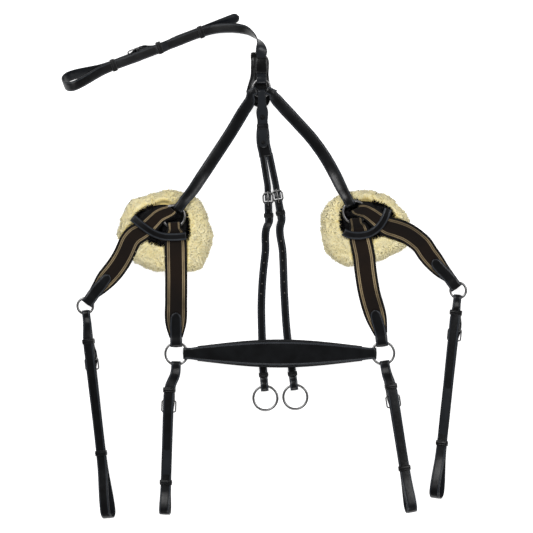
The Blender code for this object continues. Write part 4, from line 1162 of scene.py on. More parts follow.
def wool_nodes():
    """A tree that sets locks of wool on a skin, whose points say how thick they stand and how they lean."""
    tree, given, out = started_tree("wool locks")
    ids = {
        "locks": group_input(tree, "NodeSocketFloat", "Locks per square metre", 300000.0),
        "length": group_input(tree, "NodeSocketFloat", "Lock length", 0.009),
        "thick": group_input(tree, "NodeSocketFloat", "Lock thickness", 0.0016),
        "seed": group_input(tree, "NodeSocketInt", "Seed", 7),
        "wool": group_input(tree, "NodeSocketMaterial", "Wool"),
    }
    cover = add(tree, "GeometryNodeInputNamedAttribute", {"Name": "wool_cover"}, data_type="FLOAT")
    lean = add(tree, "GeometryNodeInputNamedAttribute", {"Name": "wool_lean"}, data_type="FLOAT_VECTOR")
    dense = add(
        tree, "ShaderNodeMath",
        links={0: given.outputs["Locks per square metre"], 1: cover.outputs["Attribute"]},
        operation="MULTIPLY",
    )
    spots = add(
        tree, "GeometryNodeDistributePointsOnFaces",
        links={"Mesh": given.outputs["Geometry"], "Density": dense.outputs[0], "Seed": given.outputs["Seed"]},
    )
    stray = add(
        tree, "FunctionNodeRandomValue", {"Min": (-0.40, -0.40, -0.12), "Max": (0.40, 0.40, 0.22)},
        {"Seed": given.outputs["Seed"]}, data_type="FLOAT_VECTOR",
    )
    way = add(
        tree, "ShaderNodeVectorMath",
        links={0: lean.outputs["Attribute"], 1: stray.outputs[0]},
        operation="ADD",
    )
    turn = add(tree, "FunctionNodeAlignRotationToVector", links={"Vector": way.outputs[0]}, axis="Z")
    line = add(
        tree, "GeometryNodeCurveQuadraticBezier",
        {"Resolution": 4, "Start": (0, 0, -0.15), "Middle": (0.10, 0, 0.45), "End": (0.34, 0, 1.0)},
    )
    factor = add(tree, "GeometryNodeSplineParameter")
    taper = add(
        tree, "ShaderNodeMapRange", {"From Min": 0.35, "From Max": 1.0, "To Min": 1.0, "To Max": 0.12},
        {"Value": factor.outputs["Factor"]},
    )
    # the share along each lock, which the wool's finish uses to paint shade at its root
    marked = add(
        tree, "GeometryNodeStoreNamedAttribute", {"Name": "lock_tip"},
        {"Geometry": line.outputs[0], "Value": factor.outputs["Factor"]}, data_type="FLOAT", domain="POINT",
    )
    widened = add(
        tree, "GeometryNodeSetCurveRadius", links={"Curve": marked.outputs[0], "Radius": taper.outputs[0]}
    )
    round_line = add(
        tree, "GeometryNodeCurvePrimitiveCircle", {"Resolution": 3, "Radius": 0.5}, mode="RADIUS"
    )
    lock = add(
        tree, "GeometryNodeCurveToMesh", {"Fill Caps": False},
        {"Curve": widened.outputs[0], "Profile Curve": round_line.outputs[0]},
    )
    thick = add(
        tree, "FunctionNodeRandomValue", {2: 0.75, 3: 1.35}, {"Seed": given.outputs["Seed"]},
        data_type="FLOAT",
    )
    wide = add(
        tree, "ShaderNodeMath",
        links={0: given.outputs["Lock thickness"], 1: thick.outputs[1]},
        operation="MULTIPLY",
    )
    tall = add(
        tree, "ShaderNodeMath",
        links={0: given.outputs["Lock length"], 1: thick.outputs[1]},
        operation="MULTIPLY",
    )
    size = add(
        tree, "ShaderNodeCombineXYZ", links={"X": wide.outputs[0], "Y": wide.outputs[0], "Z": tall.outputs[0]}
    )
    spin = add(
        tree, "FunctionNodeRandomValue", {2: 0.0, 3: 6.283}, {"Seed": given.outputs["Seed"]},
        data_type="FLOAT",
    )
    spun = add(tree, "ShaderNodeCombineXYZ", links={"Z": spin.outputs[1]})
    placed = add(
        tree, "GeometryNodeInstanceOnPoints",
        links={
            "Points": spots.outputs["Points"], "Instance": lock.outputs[0], "Rotation": turn.outputs[0],
            "Scale": size.outputs[0],
        },
    )
    swirled = add(
        tree, "GeometryNodeRotateInstances", {"Local Space": True},
        {"Instances": placed.outputs[0], "Rotation": spun.outputs[0]},
    )
    both = add(tree, "GeometryNodeJoinGeometry")
    tree.links.new(given.outputs["Geometry"], both.inputs[0])
    tree.links.new(swirled.outputs[0], both.inputs[0])
    end_tree(tree, both.outputs[0], given, out, "Wool")
    return tree, ids


def inside_share(points, outline):
    """Signed distance from an outline: negative inside it."""
    a, b = outline, np.roll(outline, -1, axis=0)
    edge = b - a
    gaps = points[:, None, :] - a[None]
    t = np.clip((gaps * edge[None]).sum(2) / (edge**2).sum(1)[None], 0, 1)
    near = np.linalg.norm(gaps - t[..., None] * edge[None], axis=2).min(1)
    crossing = (a[None, :, 1] > points[:, None, 1]) != (b[None, :, 1] > points[:, None, 1])
    climb = np.where(edge[:, 1] == 0, 1e-12, edge[:, 1])[None]
    run = edge[None, :, 0] * (points[:, None, 1] - a[None, :, 1]) / climb
    inside = (crossing & (points[:, None, 0] < run + a[None, :, 0])).sum(1) % 2 == 1
    return np.where(inside, -near, near)


WOOL_TREE, WOOL_INPUTS = wool_nodes()
WOOL_RIM = 0.0040
LOCKS_PER_SQUARE_METRE = 620000.0
LOCK_LENGTH = 0.0052
LOCK_THICKNESS = 0.0011
FRINGE_PER_SQUARE_METRE = 420000.0
FRINGE_THICKNESS = 0.0009
BAND_LINES = {
    "left": (
        (
            (-0.180, 0.095), (-0.204, 0.074), (-0.233, 0.0535), (-0.2465, 0.0314), (-0.2606, 0.0046),
            (-0.285, -0.026),
        ),
        ((-0.1605, 0.066), (-0.159, 0.010), (-0.1585, -0.060)),
    ),
    "right": (
        (
            (0.181, 0.098), (0.201, 0.084), (0.2209, 0.0705), (0.2550, 0.0586), (0.2839, 0.0369),
            (0.307, 0.006),
        ),
        ((0.1685, 0.072), (0.175, 0.050), (0.1785, 0.020), (0.183, -0.012), (0.190, -0.048)),
    ),
}
BAND_CLEARANCE = 0.0195
# the wool closes over the rim of the backing
BACKING_SHOWS = 0.90


def line_distance(points, line):
    """Distance of each point from an open line."""
    line = np.array(line, float)
    a, edge = line[:-1], np.diff(line, axis=0)
    gaps = points[:, None, :] - a[None]
    t = np.clip((gaps * edge[None]).sum(2) / (edge**2).sum(1)[None], 0, 1)
    return np.linalg.norm(gaps - t[..., None] * edge[None], axis=2).min(1)


def clear_of_bands(flat, side):
    """How far each point lies outside the stretch that the elastics press down."""
    return np.minimum(*[line_distance(flat[:, :2], line) for line in BAND_LINES[side]]) - BAND_CLEARANCE


def straight_out(flat, hub):
    """Level unit vectors from a pad's middle to each point."""
    outward = flat[:, :2] - hub
    return outward / np.maximum(np.linalg.norm(outward, axis=1), 1e-6)[:, None]


def lie_soft(mesh, skin_points, skin_faces):
    """Gives the locks the skin's own normals, so that the fleece takes the light as one soft surface."""
    tree = BVHTree.FromPolygons([tuple(p) for p in skin_points], skin_faces)
    normals = []
    for vertex in mesh.vertices:
        normal = tree.find_nearest(vertex.co)[1]
        normals.append((normal + Vector((0, 0, 0.35))).normalized())
    mesh.normals_split_custom_set_from_vertices(normals)


def grow_wool(name, flat, faces, cover, lean, finish, seed, locks, length, thick):
    skin = bpy.data.meshes.new(f"{name}_skin")
    placed = [tuple(Vector(p) + LAY_OFFSET) for p in flat]
    skin.from_pydata(placed, [], faces)
    skin.attributes.new("wool_cover", "FLOAT", "POINT").data.foreach_set("value", cover.astype(np.float32))
    leaning = skin.attributes.new("wool_lean", "FLOAT_VECTOR", "POINT")
    leaning.data.foreach_set("vector", lean.astype(np.float32).ravel())
    values = {
        WOOL_INPUTS["locks"]: locks, WOOL_INPUTS["length"]: length, WOOL_INPUTS["thick"]: thick,
        WOOL_INPUTS["seed"]: seed, WOOL_INPUTS["wool"]: finish,
    }
    mesh = grow(name, skin, WOOL_TREE, values)
    lie_soft(mesh, placed, faces)
    return mesh


# nearly black locks, with no shine
FRINGE = fibre_finish("black dyed wool edge", 120.0, "#0d0d0e", "#232326", 0.9, 0.1)
for side in SIDES:
    outline = anticlockwise(smooth_outline(FLEECE_OUTLINE[side], 24))
    backing = smooth_outline(BACKING_OUTLINE[side])
    backing = anticlockwise(backing.mean(axis=0) + (backing - backing.mean(axis=0)) * BACKING_SHOWS)
    random = np.random.default_rng({"left": 3, "right": 4}[side])
    middle = outline.mean(axis=0)
    reach = np.linalg.norm(outline - middle, axis=1)
    # the rim waves in and out by up to 2 mm, in waves of about 20 to 60 mm
    around = np.linspace(0, math.tau, len(outline), endpoint=False)
    wave = sum(np.sin(around * k + random.uniform(0, 6)) for k in (9, 15, 26)) * 0.0006
    rim = middle + (outline - middle) * ((reach - WOOL_RIM + wave) / reach)[:, None]
    levels = [(0.4, 0.0008), (0.9, 0.0008), (0.96, 0.0022), (0.99, 0.0060), (1.0, 0.0100), (0.99, 0.0135)]
    levels += [(0.97, 0.0162), (0.94, 0.0182), (0.905, 0.0195)]
    levels += [(share / 40, 0.0200) for share in range(34, 0, -1)]
    points, faces = shells(rim, levels)
    flat = np.array(points)
    from_backing = inside_share(flat[:, :2], backing)
    upper = flat[:, 2] > 0.015
    inward = np.clip(from_backing / 0.010, 0, 1)
    flat[:, 2] = np.where(upper, 0.0165 + (flat[:, 2] - 0.0165) * inward ** 0.6, flat[:, 2])
    lumps = sum(
        np.sin(flat[:, 0] * k * 1.3 + random.uniform(0, 6)) * np.sin(flat[:, 1] * k + random.uniform(0, 6))
        for k in (150, 240, 390)
    )
    flat[:, 2] += upper * inward * 0.0005 * lumps
    band_gap = clear_of_bands(flat, side)
    pressed = np.clip(band_gap / 0.006 + 0.5, 0, 1)
    high = flat[:, 2] > 0.0150
    flat[:, 2] = np.where(high, 0.0150 + (flat[:, 2] - 0.0150) * pressed, flat[:, 2])
    lean = np.column_stack([straight_out(flat, middle), np.full(len(flat), 0.30)])
    low_down = flat[:, 2] < 0.016
    lean[low_down, 2] = np.clip((flat[low_down, 2] - 0.013) / 0.010, -0.7, 0.30)
    cover = np.clip((from_backing + 0.001) / 0.003, 0, 1) * (flat[:, 2] > 0.001)
    cover = cover * np.clip(band_gap / 0.002 + 0.6, 0, 1)
    mesh = grow_wool(
        f"fleece_{side}", flat, faces, cover, lean, WOOL, {"left": 11, "right": 12}[side],
        LOCKS_PER_SQUARE_METRE, LOCK_LENGTH, LOCK_THICKNESS,
    )
    fleece = link_grown(f"fleece_pad_{side}_wool", mesh, "base")
    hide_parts(f"fleece_pad_{side}")
    top = PAD_TOP + 0.0023
    levels = ((0.6, PAD_TOP), (0.97, PAD_TOP), (0.995, PAD_TOP + 0.0005), (1.0, PAD_TOP + 0.0012))
    levels += ((0.99, top - 0.0002), (0.97, top), (0.94, top), (0.925, top - 0.0003), (0.91, top), (0.5, top))
    points, faces = shells(backing, levels)
    make_piece(
        f"pad_backing_{side}_leather", points, faces, LINING, "base", [f"pad_backing_{side}"]
    )
    # a short black fringe stands out from under the backing's edge, over the cream wool
    hub = backing.mean(axis=0)
    hem = ((0.90, 0.0190), (0.97, 0.0205), (0.99, 0.0200), (0.97, 0.0190))
    points, faces = shells(backing, hem)
    flat = np.array(points)
    band_gap = clear_of_bands(flat, side)
    lean = np.column_stack([straight_out(flat, hub), np.full(len(flat), 0.22)])
    cover = (np.linalg.norm(flat[:, :2] - hub, axis=1) > 0.01) * np.clip(band_gap / 0.003 + 0.5, 0, 1)
    mesh = grow_wool(
        f"fringe_{side}", flat, faces, cover, lean, FRINGE, {"left": 21, "right": 22}[side],
        FRINGE_PER_SQUARE_METRE, LOCK_LENGTH, FRINGE_THICKNESS,
    )
    link_grown(f"pad_fringe_{side}_wool", mesh, "base")

# ------------------------------------------------------------------ elastics and their tabs
# Wide elastic webbing, dark brown with two ribbed tan stripes and black borders, sewn to itself round the
# shoulder ring. A leather tab folded round the next ring is sewn over its other end.

WEBBING = 0.0018
NECK_ELASTIC_HALF = 0.020
NECK_SIDE = {"left": -86, "right": -80}
NECK_ROUTE = {
    "left": (
        (-0.1606, 0.061, 0.0245), (-0.1601, 0.056, 0.0228), (-0.1596, 0.046, 0.0220),
        (-0.1588, 0.010, 0.0208),
        (-0.1584, -0.014, 0.0192), (-0.1586, -0.062, 0.0145), (-0.1591, -0.108, 0.0126),
        (-0.1588, -0.130, 0.0124),
    ),
    "right": (
        (0.1685, 0.069, 0.0245), (0.170, 0.063, 0.0228), (0.1722, 0.050, 0.0220), (0.1790, 0.018, 0.0211),
        (0.1825, -0.012, 0.0192), (0.1885, -0.048, 0.0145), (0.2028, -0.098, 0.0125), (0.210, -0.124, 0.0125),
    ),
}
# The girth elastic comes up inside the ring, curls over its outer wire and runs down to the girth.
GIRTH_FOLD = {"left": (-0.6, -0.8), "right": (0.5, -0.87)}
GIRTH_ROUTE = {
    "left": (
        (-0.1690, 0.0985, 0.0304), (-0.1740, 0.0960, 0.0306), (-0.1800, 0.0938, 0.0305),
        (-0.1886, 0.0895, 0.0290),
        (-0.1965, 0.0825, 0.0262), (-0.2045, 0.0745, 0.0241), (-0.2125, 0.0665, 0.0231),
        (-0.2207, 0.0608, 0.0228),
        (-0.2331, 0.0535, 0.0222), (-0.2420, 0.0428, 0.0213), (-0.2470, 0.0314, 0.0204),
        (-0.2525, 0.0194, 0.0196),
        (-0.2610, 0.0046, 0.0186), (-0.2719, -0.0105, 0.0176), (-0.2854, -0.0260, 0.0163),
        (-0.2961, -0.0390, 0.0154),
        (-0.3055, -0.0495, 0.0150),
    ),
    "right": (
        (0.1675, 0.0990, 0.0304), (0.1735, 0.0985, 0.0306), (0.1806, 0.0975, 0.0305),
        (0.1900, 0.0925, 0.0290),
        (0.2013, 0.0844, 0.0262), (0.2115, 0.0762, 0.0241), (0.2209, 0.0705, 0.0231),
        (0.2385, 0.0650, 0.0226),
        (0.2550, 0.0586, 0.0218), (0.2705, 0.0487, 0.0206), (0.2839, 0.0369, 0.0194),
        (0.2943, 0.0214, 0.0182),
        (0.3067, 0.0059, 0.0170), (0.3191, -0.0085, 0.0160), (0.332, -0.0205, 0.015),
    ),
}
GIRTH_HALVES = {
    "left": (
        0.0125, 0.0130, 0.0138, 0.0146, 0.0154, 0.0162, 0.0172, 0.0180, 0.0188, 0.0190, 0.0190, 0.0190, 0.0190,
        0.0190, 0.0178, 0.0145, 0.0110,
    ),
    "right": (
        0.0125, 0.0130, 0.0138, 0.0148, 0.0160, 0.0170, 0.0180, 0.0190, 0.0190, 0.0190, 0.0190, 0.0190, 0.0178,
        0.0148, 0.0110,
    ),
}


def striped_elastic():
    made, tree, shader = finish_named("striped elastic webbing")
    uv = add(tree, "ShaderNodeUVMap", uv_map="cloth")
    parts = add(tree, "ShaderNodeSeparateXYZ", links={"Vector": uv.outputs["UV"]})
    side = add(tree, "ShaderNodeMath", links={0: parts.outputs["Y"]}, operation="ABSOLUTE")
    bands = add(tree, "ShaderNodeValToRGB", links={"Fac": side.outputs[0]})
    ramp = bands.color_ramp
    ramp.interpolation = "CONSTANT"
    stops = (
        (0.0, "#140a03"), (0.52, "#080402"), (0.54, "#8d7c5e"), (0.62, "#3c3122"), (0.68, "#8d7c5e"),
        (0.77, "#040303"),
    )
    ramp.elements[0].color = colour(stops[0][1])
    ramp.elements[1].position, ramp.elements[1].color = stops[1][0], colour(stops[1][1])
    for position, code in stops[2:]:
        ramp.elements.new(position).color = colour(code)
    # weft ribs every 1.6 mm, with painted shade in their hollows and painted highlight on their crests, and
    # patches of about 60 mm painted lighter and darker as light and shade
    ribs = add(tree, "ShaderNodeMath", {1: 3900.0}, {0: parts.outputs["X"]}, operation="MULTIPLY")
    wave = add(tree, "ShaderNodeMath", links={0: ribs.outputs[0]}, operation="SINE")
    where = add(tree, "ShaderNodeTexCoord")
    # patches painted lighter and darker, standing in for light and shade on the webbing
    painted_light = add(
        tree, "ShaderNodeTexNoise", {"Scale": 17.0, "Detail": 4.0}, {"Vector": where.outputs["Object"]}
    )
    shade = add(
        tree, "ShaderNodeMapRange", {"From Min": 0.35, "From Max": 0.65, "To Min": 0.5, "To Max": 1.35},
        {"Value": painted_light.outputs["Fac"]},
    )
    # the ribs' hollows are painted darker as shade and their crests lighter as highlight
    painted_rib_shade = add(
        tree, "ShaderNodeMapRange", {"From Min": -1.0, "From Max": 1.0, "To Min": 0.8, "To Max": 1.1},
        {"Value": wave.outputs[0]},
    )
    light = add(
        tree, "ShaderNodeMath", links={0: shade.outputs[0], 1: painted_rib_shade.outputs[0]}, operation="MULTIPLY"
    )
    tint = add(
        tree, "ShaderNodeVectorMath",
        links={0: bands.outputs["Color"], "Scale": light.outputs[0]},
        operation="SCALE",
    )
    bump = add(tree, "ShaderNodeBump", {"Strength": 0.35, "Distance": 0.0003}, {"Height": wave.outputs[0]})
    tree.links.new(tint.outputs[0], shader.inputs["Base Color"])
    tree.links.new(bump.outputs["Normal"], shader.inputs["Normal"])
    shader.inputs["Roughness"].default_value = 0.85
    shader.inputs["Specular IOR Level"].default_value = 0.2
    shader.inputs["Sheen Weight"].default_value = 0.08
    return made


ELASTIC = striped_elastic()
WEB_EDGE = (
    (0.0, 0.5, 0.0), (0.0004, 1.0, 0.0), (0.0022, 1.0, 0.0), (0.0028, 1.15, 0.0), (0.0042, 1.2, 0.0),
    (0.0048, 1.05, 0.0), (0.0056, 1.2, 0.0), (0.0074, 1.2, 0.0), (0.0082, 1.0, 0.0), (0.0110, 1.0, 0.0),
)


def neck_stations(side):
    half = NECK_ELASTIC_HALF
    halves = [0.0165, 0.0180, half * 0.97, half, half, half, half * 0.92, 0.012]
    over = RING_WIRE + SLACK + WEBBING / 2
    ring_at = Vector(RING_AT[f"shoulder_ring_{side}"])
    start = ring_end(ring_at, BIG_RING, compass(NECK_SIDE[side]), 0.0125, WEBBING, 0.0065, over, 0.005)
    return start + plan_stations(NECK_ROUTE[side], halves)


def girth_stations(side):
    """The girth elastic: its hidden back layer, its fold inside the ring, and its face down to the girth."""
    face = plan_stations(GIRTH_ROUTE[side], GIRTH_HALVES[side])
    drop = 2 * (RING_WIRE + SLACK + WEBBING / 2)
    back = [(middle - Vector((0, 0, drop)), half * 0.9) for middle, half in face[:3]]
    turn = heading_frame(Vector(GIRTH_ROUTE[side][0]) - Vector((0, 0, drop / 2)), GIRTH_FOLD[side])
    fold = section_stations(turn, arc(0, 0, drop / 2, -90, -270, 10), GIRTH_HALVES[side][0])
    return list(reversed(back[1:])) + fold + face[1:]


def lay_elastic(name, stations, route, node, blend_from):
    points, faces, along, _ = strap_shape(stations, WEBBING, profile=WEB_EDGE, crown=0.0, spacing=0.0025)
    widths = np.array([a[1] for a in along]).reshape(-1, 2 * len(WEB_EDGE) + 1 + 2 * len(FLESH))
    full = np.maximum(np.abs(widths).max(axis=1), 1e-6)
    uv = [(a[0], w) for a, w in zip(along, (widths / full[:, None]).ravel())]
    piece = make_piece(name, points, faces, ELASTIC, None, [node], uv)
    first, last = Vector(route[blend_from]) + LAY_OFFSET, Vector(route[-2]) + LAY_OFFSET
    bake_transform(piece)


TAB_HALF = 0.0080
TAB_FOLD_HALF = 0.0108
TAB_LEATHER = 0.002
TAB_OFF = WEBBING / 2 + 0.0004 + TAB_LEATHER / 2


def lay_tab(name, ring_at, ring_radius, route, over, under, body, node):
    """A leather tab folded round a ring and sewn to both faces of an elastic's end."""
    end = Vector(route[-1])
    direction = Vector((end.x - ring_at.x, end.y - ring_at.y, 0)).normalized()
    where = heading_frame(ring_at + direction * ring_radius, direction)
    radius = RING_WIRE + SLACK + TAB_LEATHER / 2
    points = [(under, -TAB_OFF - 0.0002), (0.010, -TAB_OFF), (0.003, -radius)]
    points += arc(-sag(TAB_FOLD_HALF, ring_radius) - SLACK, 0, radius, -90, -270)
    points += [(0.003, radius), (0.010, TAB_OFF)]
    stations = section_stations(where, points, TAB_FOLD_HALF)
    spots = [Vector(spot) for spot in reversed(route)]
    travelled = 0.0
    path = []
    for one, two in zip(spots, spots[1:]):
        travelled += (two - one).length
        if travelled > over:
            path.append(one.lerp(two, 1 - (travelled - over) / (two - one).length))
            break
        path.append(two)
    lifted = [spot + Vector((0, 0, TAB_OFF + 0.0004)) for spot in path]
    halves = [TAB_FOLD_HALF + (TAB_HALF - TAB_FOLD_HALF) * min(1, k / 2) for k in range(len(lifted))]
    stations += plan_stations(lifted, halves)
    lay_strap(name, stations, TAB_LEATHER, body, [node], tips=("cut", "round"), crown=0.0005)
    face_only = stations[-len(lifted):]
    seams = [seam_line(face_only, 0.0014, TAB_LEATHER / 2 + 0.0001, k, skip=(0.0, 0.008)) for k in (-1, 1)]
    end_spot, end_half = face_only[-1]
    ahead = end_half.cross(Vector((0, 0, 1))).normalized()
    if ahead.dot(end_spot - face_only[0][0]) < 0:
        ahead = -ahead
    reach = end_half.length - 0.0014
    hub = end_spot - ahead * end_half.length + Vector((0, 0, TAB_LEATHER / 2 + 0.0001))
    across = end_half.normalized()
    seams.append([
        hub + across * reach * math.cos(math.pi * k / 10) + ahead * reach * math.sin(math.pi * k / 10)
        for k in range(11)
    ])
    sew(f"{name}_stitches", seams, body, 0.0028)


for side in SIDES:
    neck, girth = NECK_ROUTE[side], GIRTH_ROUTE[side]
    lay_elastic(f"neck_elastic_{side}_woven", neck_stations(side), neck, f"neck_elastic_{side}", 3)
    lay_elastic(
        f"girth_elastic_{side}_woven", girth_stations(side), girth, f"girth_elastic_{side}", 9
    )
    lay_tab(
        f"neck_tab_{side}_leather", Vector(RING_AT[f"withers_ring_{side}"]), BIG_RING, neck, 0.045, 0.028,
        "withers", f"neck_tab_{side}",
    )
    lay_tab(
        f"girth_tab_{side}_leather", Vector(RING_AT[f"girth_ring_{side}"]), GIRTH_RING, girth, 0.042, 0.026,
        f"girth_end_{side}", f"girth_tab_{side}",
    )

# ------------------------------------------------------------------ cross straps on the pads
# A soft leather strap sewn to each backing: one arm lies across the girth elastic and one across the neck
# elastic, so that the pad can't slide off.

CROSS_HALF = 0.0070
CROSS_ROUTE = {
    "left": (
        (-0.237, 0.0860, 0.0246), (-0.231, 0.081, 0.0256), (-0.216, 0.069, 0.0272), (-0.199, 0.058, 0.0262),
        (-0.184, 0.0525, 0.0262), (-0.162, 0.0510, 0.0262), (-0.147, 0.0520, 0.0256),
        (-0.1400, 0.053, 0.0246),
    ),
    "right": (
        (0.1425, 0.060, 0.0246), (0.148, 0.057, 0.0256), (0.170, 0.0535, 0.0268), (0.191, 0.058, 0.0262),
        (0.205, 0.068, 0.0262), (0.214, 0.080, 0.0268), (0.221, 0.096, 0.0256), (0.223, 0.102, 0.0246),
    ),
}
for side in SIDES:
    stations = plan_stations(CROSS_ROUTE[side], [CROSS_HALF] * len(CROSS_ROUTE[side]))
    lay_strap(
        f"pad_cross_strap_{side}_leather", stations, TAB_LEATHER, "base", [
            f"pad_cross_strap_{side}"
        ], crown=0.0
    )

# ------------------------------------------------------------------ withers strap
# A broad bridle leather face, widest in the middle, sewn on a rolled and padded base. Its two ends are
# folded round the withers rings.

WITHERS_Y = -0.1585
WITHERS_LEFT = RING_AT["withers_ring_left"][0] + BIG_RING
WITHERS_RIGHT = RING_AT["withers_ring_right"][0] - BIG_RING
WITHERS_STEPS = 26
WITHERS_INSET = 0.020
FACE_Z = (0.0170, 0.0185)
FACE_HALF = (0.0112, 0.0215)
PADDING = 0.006
PADDING_HALF = (0.0120, 0.0255)


def withers_value(x, ends, middle):
    t = (x - WITHERS_LEFT) / (WITHERS_RIGHT - WITHERS_LEFT)
    return ends + (middle - ends) * math.sin(math.pi * min(max(t, 0), 1)) ** 1.2


def withers_line(inset, sizes, below):
    run = WITHERS_RIGHT - WITHERS_LEFT
    line = []
    for i in range(WITHERS_STEPS + 1):
        x = WITHERS_LEFT + inset + (run - 2 * inset) * i / WITHERS_STEPS
        half = Vector((0, -withers_value(x, *sizes), 0))
        line.append((Vector((x, WITHERS_Y, withers_value(x, *FACE_Z) - below)), half))
    return line


over = RING_WIRE + SLACK + LEATHER / 2
withers_ends = {}
for side, angle in (("left", 0), ("right", 180)):
    at = Vector(RING_AT[f"withers_ring_{side}"])
    at.y = WITHERS_Y
    withers_ends[side] = ring_end(at, BIG_RING, compass(angle), 0.0105, LEATHER, 0.011, over, 0.009)
stations = withers_ends["left"] + withers_line(WITHERS_INSET, FACE_HALF, 0.0)
stations += turned_back(withers_ends["right"])
lay_strap("withers_strap_face_leather", stations, LEATHER, "withers", ["withers_strap_face"], crown=0.0006)
withers_seams = [seam_line(stations, 0.0035, LEATHER / 2 + 0.0002, k, skip=(0.040, 0.040)) for k in (-1, 1)]
sew("withers_strap_stitches", withers_seams, "withers")
below = LEATHER / 2 + 0.0004 + PADDING / 2
ROLLED = (
    (0.0, 0.0, 0.0), (0.0004, 0.45, 0.0), (0.0014, 0.8, 0.0), (0.003, 0.98, 0.0), (0.0042, 1.0, 0.0),
    (0.008, 1.0, 0.0),
)
padding = lay_strap(
    "withers_strap_padding_leather", withers_line(WITHERS_INSET - 0.002, PADDING_HALF, below), PADDING,
    "withers",
    ["withers_strap_padding"], LINING, "lining_leather", profile=ROLLED,
)

# ------------------------------------------------------------------ saddle straps and billet straps
# Four doubled bridle leather straps, two to the saddle and two to the girth. Each hangs on its ring by a
# sewn fold, carries a buckle on its back layer, and ends in an open loop held by a sliding keeper.

STRAP_HALF = 0.0095
FOLD_HALF = 0.0086
HANGING = {
    "saddle_left": dict(
        ring="withers_ring_left", radius=BIG_RING, heading=-91.8, roll=10, pitch=0.8,
        aside=-0.0116, bar=0.065, tail=0.030, runner=0.212, loop=0.222, end=0.269, height=0.0085, keeper=0.0455,
    ),
    "saddle_right": dict(
        ring="withers_ring_right", radius=BIG_RING, heading=-81.0, roll=-12, pitch=0.8,
        aside=0.0054, bar=0.0585, tail=0.024, runner=0.190, loop=0.200, end=0.270, height=0.011, keeper=0.041,
    ),
    "billet_left": dict(
        ring="girth_ring_left", radius=GIRTH_RING, heading=-83.4, roll=22, pitch=0.5,
        aside=-0.002, bar=0.081, tail=0.044, runner=0.252, loop=0.264, end=0.369, height=0.0125, keeper=0.050,
    ),
    "billet_right": dict(
        ring="girth_ring_right", radius=GIRTH_RING, heading=-96.1, roll=24, pitch=0.5,
        aside=0.0, bar=0.056, tail=0.018, runner=0.262, loop=0.274, end=0.361, height=0.0125, keeper=0.026,
    ),
}


def hang_strap(name, ring, radius, heading, roll, pitch, aside, bar, tail, runner, loop, end, height, keeper):
    kind, side = name.split("_")
    direction = compass(heading)
    across = direction.cross(Vector((0, 0, 1)))
    fold_at = Vector(RING_AT[ring]) + direction * radius
    where = heading_frame(fold_at - across * aside, direction, math.radians(pitch))
    fold_half = min(FOLD_HALF, radius * 0.5)
    fold = RING_WIRE + sag(fold_half, radius) + FOLD_GAP + LEATHER / 2
    turned = math.radians(roll)

    def twist(s):
        return turned * smooth((s - 0.010) / 0.034)

    def sway(s):
        return aside * (1 - smooth((s - 0.008) / 0.044))

    half = STRAP_HALF
    points = tail_points(bar, tail, half)
    points += loop_points(loop, end, height, half)
    points += [(bar + BUCKLE_LENGTH, LAYER, half), (bar, LAYER, half), (bar * 0.62, LAYER, half)]
    points += [(0.016, LAYER + 0.0004, fold_half + 0.0005), (0.004, fold, fold_half)]
    points += [(s, n, fold_half) for s, n in arc(0, 0, fold, 90, 270)]
    points += [(0.004, -fold, fold_half), (0.016, -LAYER - 0.0004, fold_half + 0.0005)]
    points += [(bar * 0.62, -LAYER, half)] + chape_points(bar, half)
    stations = section_stations(where, points, half, twist, sway)
    lay_strap(
        f"{name}_leather", stations, LEATHER, name, [f"{kind}_strap_{side}"], grain=-1, tips=("round", "cut")
    )
    rolled = Matrix.Rotation(turned, 4, "Y")
    bar_frame = where @ rolled @ Matrix.Translation((0, bar, -BAR_OFF))
    hang_buckle(f"{kind}_buckle_{side}_plated", bar_frame, half, name, f"{kind}_buckle_{side}")
    tongue = f"{kind}_tongue_{side}"
    hang_tongue(f"{tongue}_plated", bar_frame, strap_tongue_path(), tongue, tongue)
    reach = LAYER + LEATHER / 2
    for label, s, body, nodes in (
        (f"{kind}_runner_{side}_leather", runner, f"{kind}_runner_{side}", [f"{kind}_runner_{side}"]),
        (f"{kind}_keeper_{side}", keeper, name, ()),
    ):
        keeper_frame = where @ Matrix.Translation((sway(s), s, 0)) @ Matrix.Rotation(twist(s), 4, "Y")
        low = -reach if nodes else -reach - 0.0022
        sew_keeper(label, keeper_frame, half, low, reach, 0.009, body, nodes)


for strap_name, strap_sizes in HANGING.items():
    hang_strap(strap_name, **strap_sizes)

# ------------------------------------------------------------------ floor, light and camera
# A white floor under large soft lamps. The camera looks straight down through a long lens.

CAMERA_AT = Vector((0.00379, -0.00111, 0.0))
SEEN_WIDTH = 0.9594
LENS = 300.0
SENSOR = 36.0
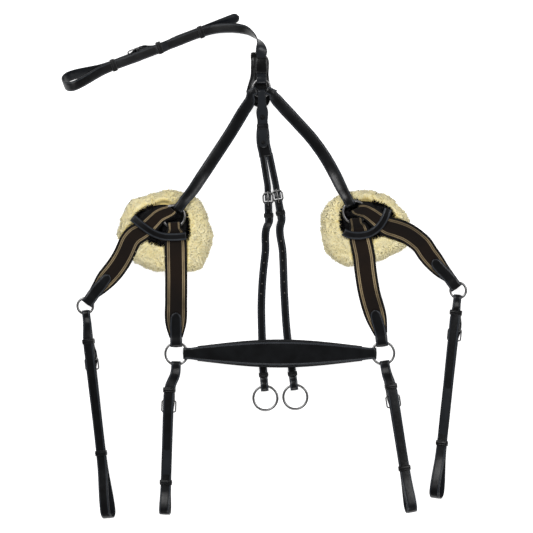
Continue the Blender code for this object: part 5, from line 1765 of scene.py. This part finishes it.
# the height at which the view is SEEN_WIDTH wide
FOCUS_Z = 0.012
FLOOR_REACH = 15.0
FLOOR_Z = -0.0005


def studio():
    made, tree, shader = finish_named("white studio floor")
    shader.inputs["Base Color"].default_value = (0.9, 0.9, 0.9, 1.0)
    shader.inputs["Roughness"].default_value = 0.9
    shader.inputs["Specular IOR Level"].default_value = 0.0
    shader.inputs["Emission Color"].default_value = (1.0, 1.0, 1.0, 1.0)
    shader.inputs["Emission Strength"].default_value = 0.74
    mesh = bpy.data.meshes.new("studio_floor")
    corners = [(x * FLOOR_REACH, y * FLOOR_REACH, FLOOR_Z) for x, y in ((-1, -1), (1, -1), (1, 1), (-1, 1))]
    mesh.from_pydata(corners, [], [(0, 1, 2, 3)])
    mesh.materials.append(made)
    put_in_scene("studio_floor", mesh)
    world = bpy.data.worlds.new("studio")
    world.use_nodes = True
    world.node_tree.nodes["Background"].inputs["Color"].default_value = (1.0, 1.0, 1.0, 1.0)
    world.node_tree.nodes["Background"].inputs["Strength"].default_value = 0.12
    bpy.context.scene.world = world
    for name, at, size, power in (
        ("softbox_above_left", (-1.6, 1.8, 2.4), 1.6, 72.0),
        ("softbox_above_right", (1.9, 1.0, 2.2), 1.3, 38.0),
        ("softbox_below", (0.2, -2.2, 2.0), 1.4, 30.0),
    ):
        lamp = bpy.data.lights.new(name, "AREA")
        lamp.shape = "SQUARE"
        lamp.size = size
        lamp.energy = power
        holder = put_in_scene(name, lamp)
        holder.location = at
        holder.rotation_mode = "QUATERNION"
        holder.rotation_quaternion = (-Vector(at)).to_track_quat("-Z", "Y")
        holder.visible_camera = False


studio()
lens = bpy.data.cameras.new("camera")
lens.type = "PERSP"
lens.sensor_width = SENSOR
lens.lens = LENS
lens.clip_end = 100.0
camera = put_in_scene("camera", lens)
height = SEEN_WIDTH * LENS / SENSOR
camera.location = CAMERA_AT + Vector((0, 0, height + FOCUS_Z))
bpy.context.scene.camera = camera
bpy.context.scene.view_settings.view_transform = "Standard"
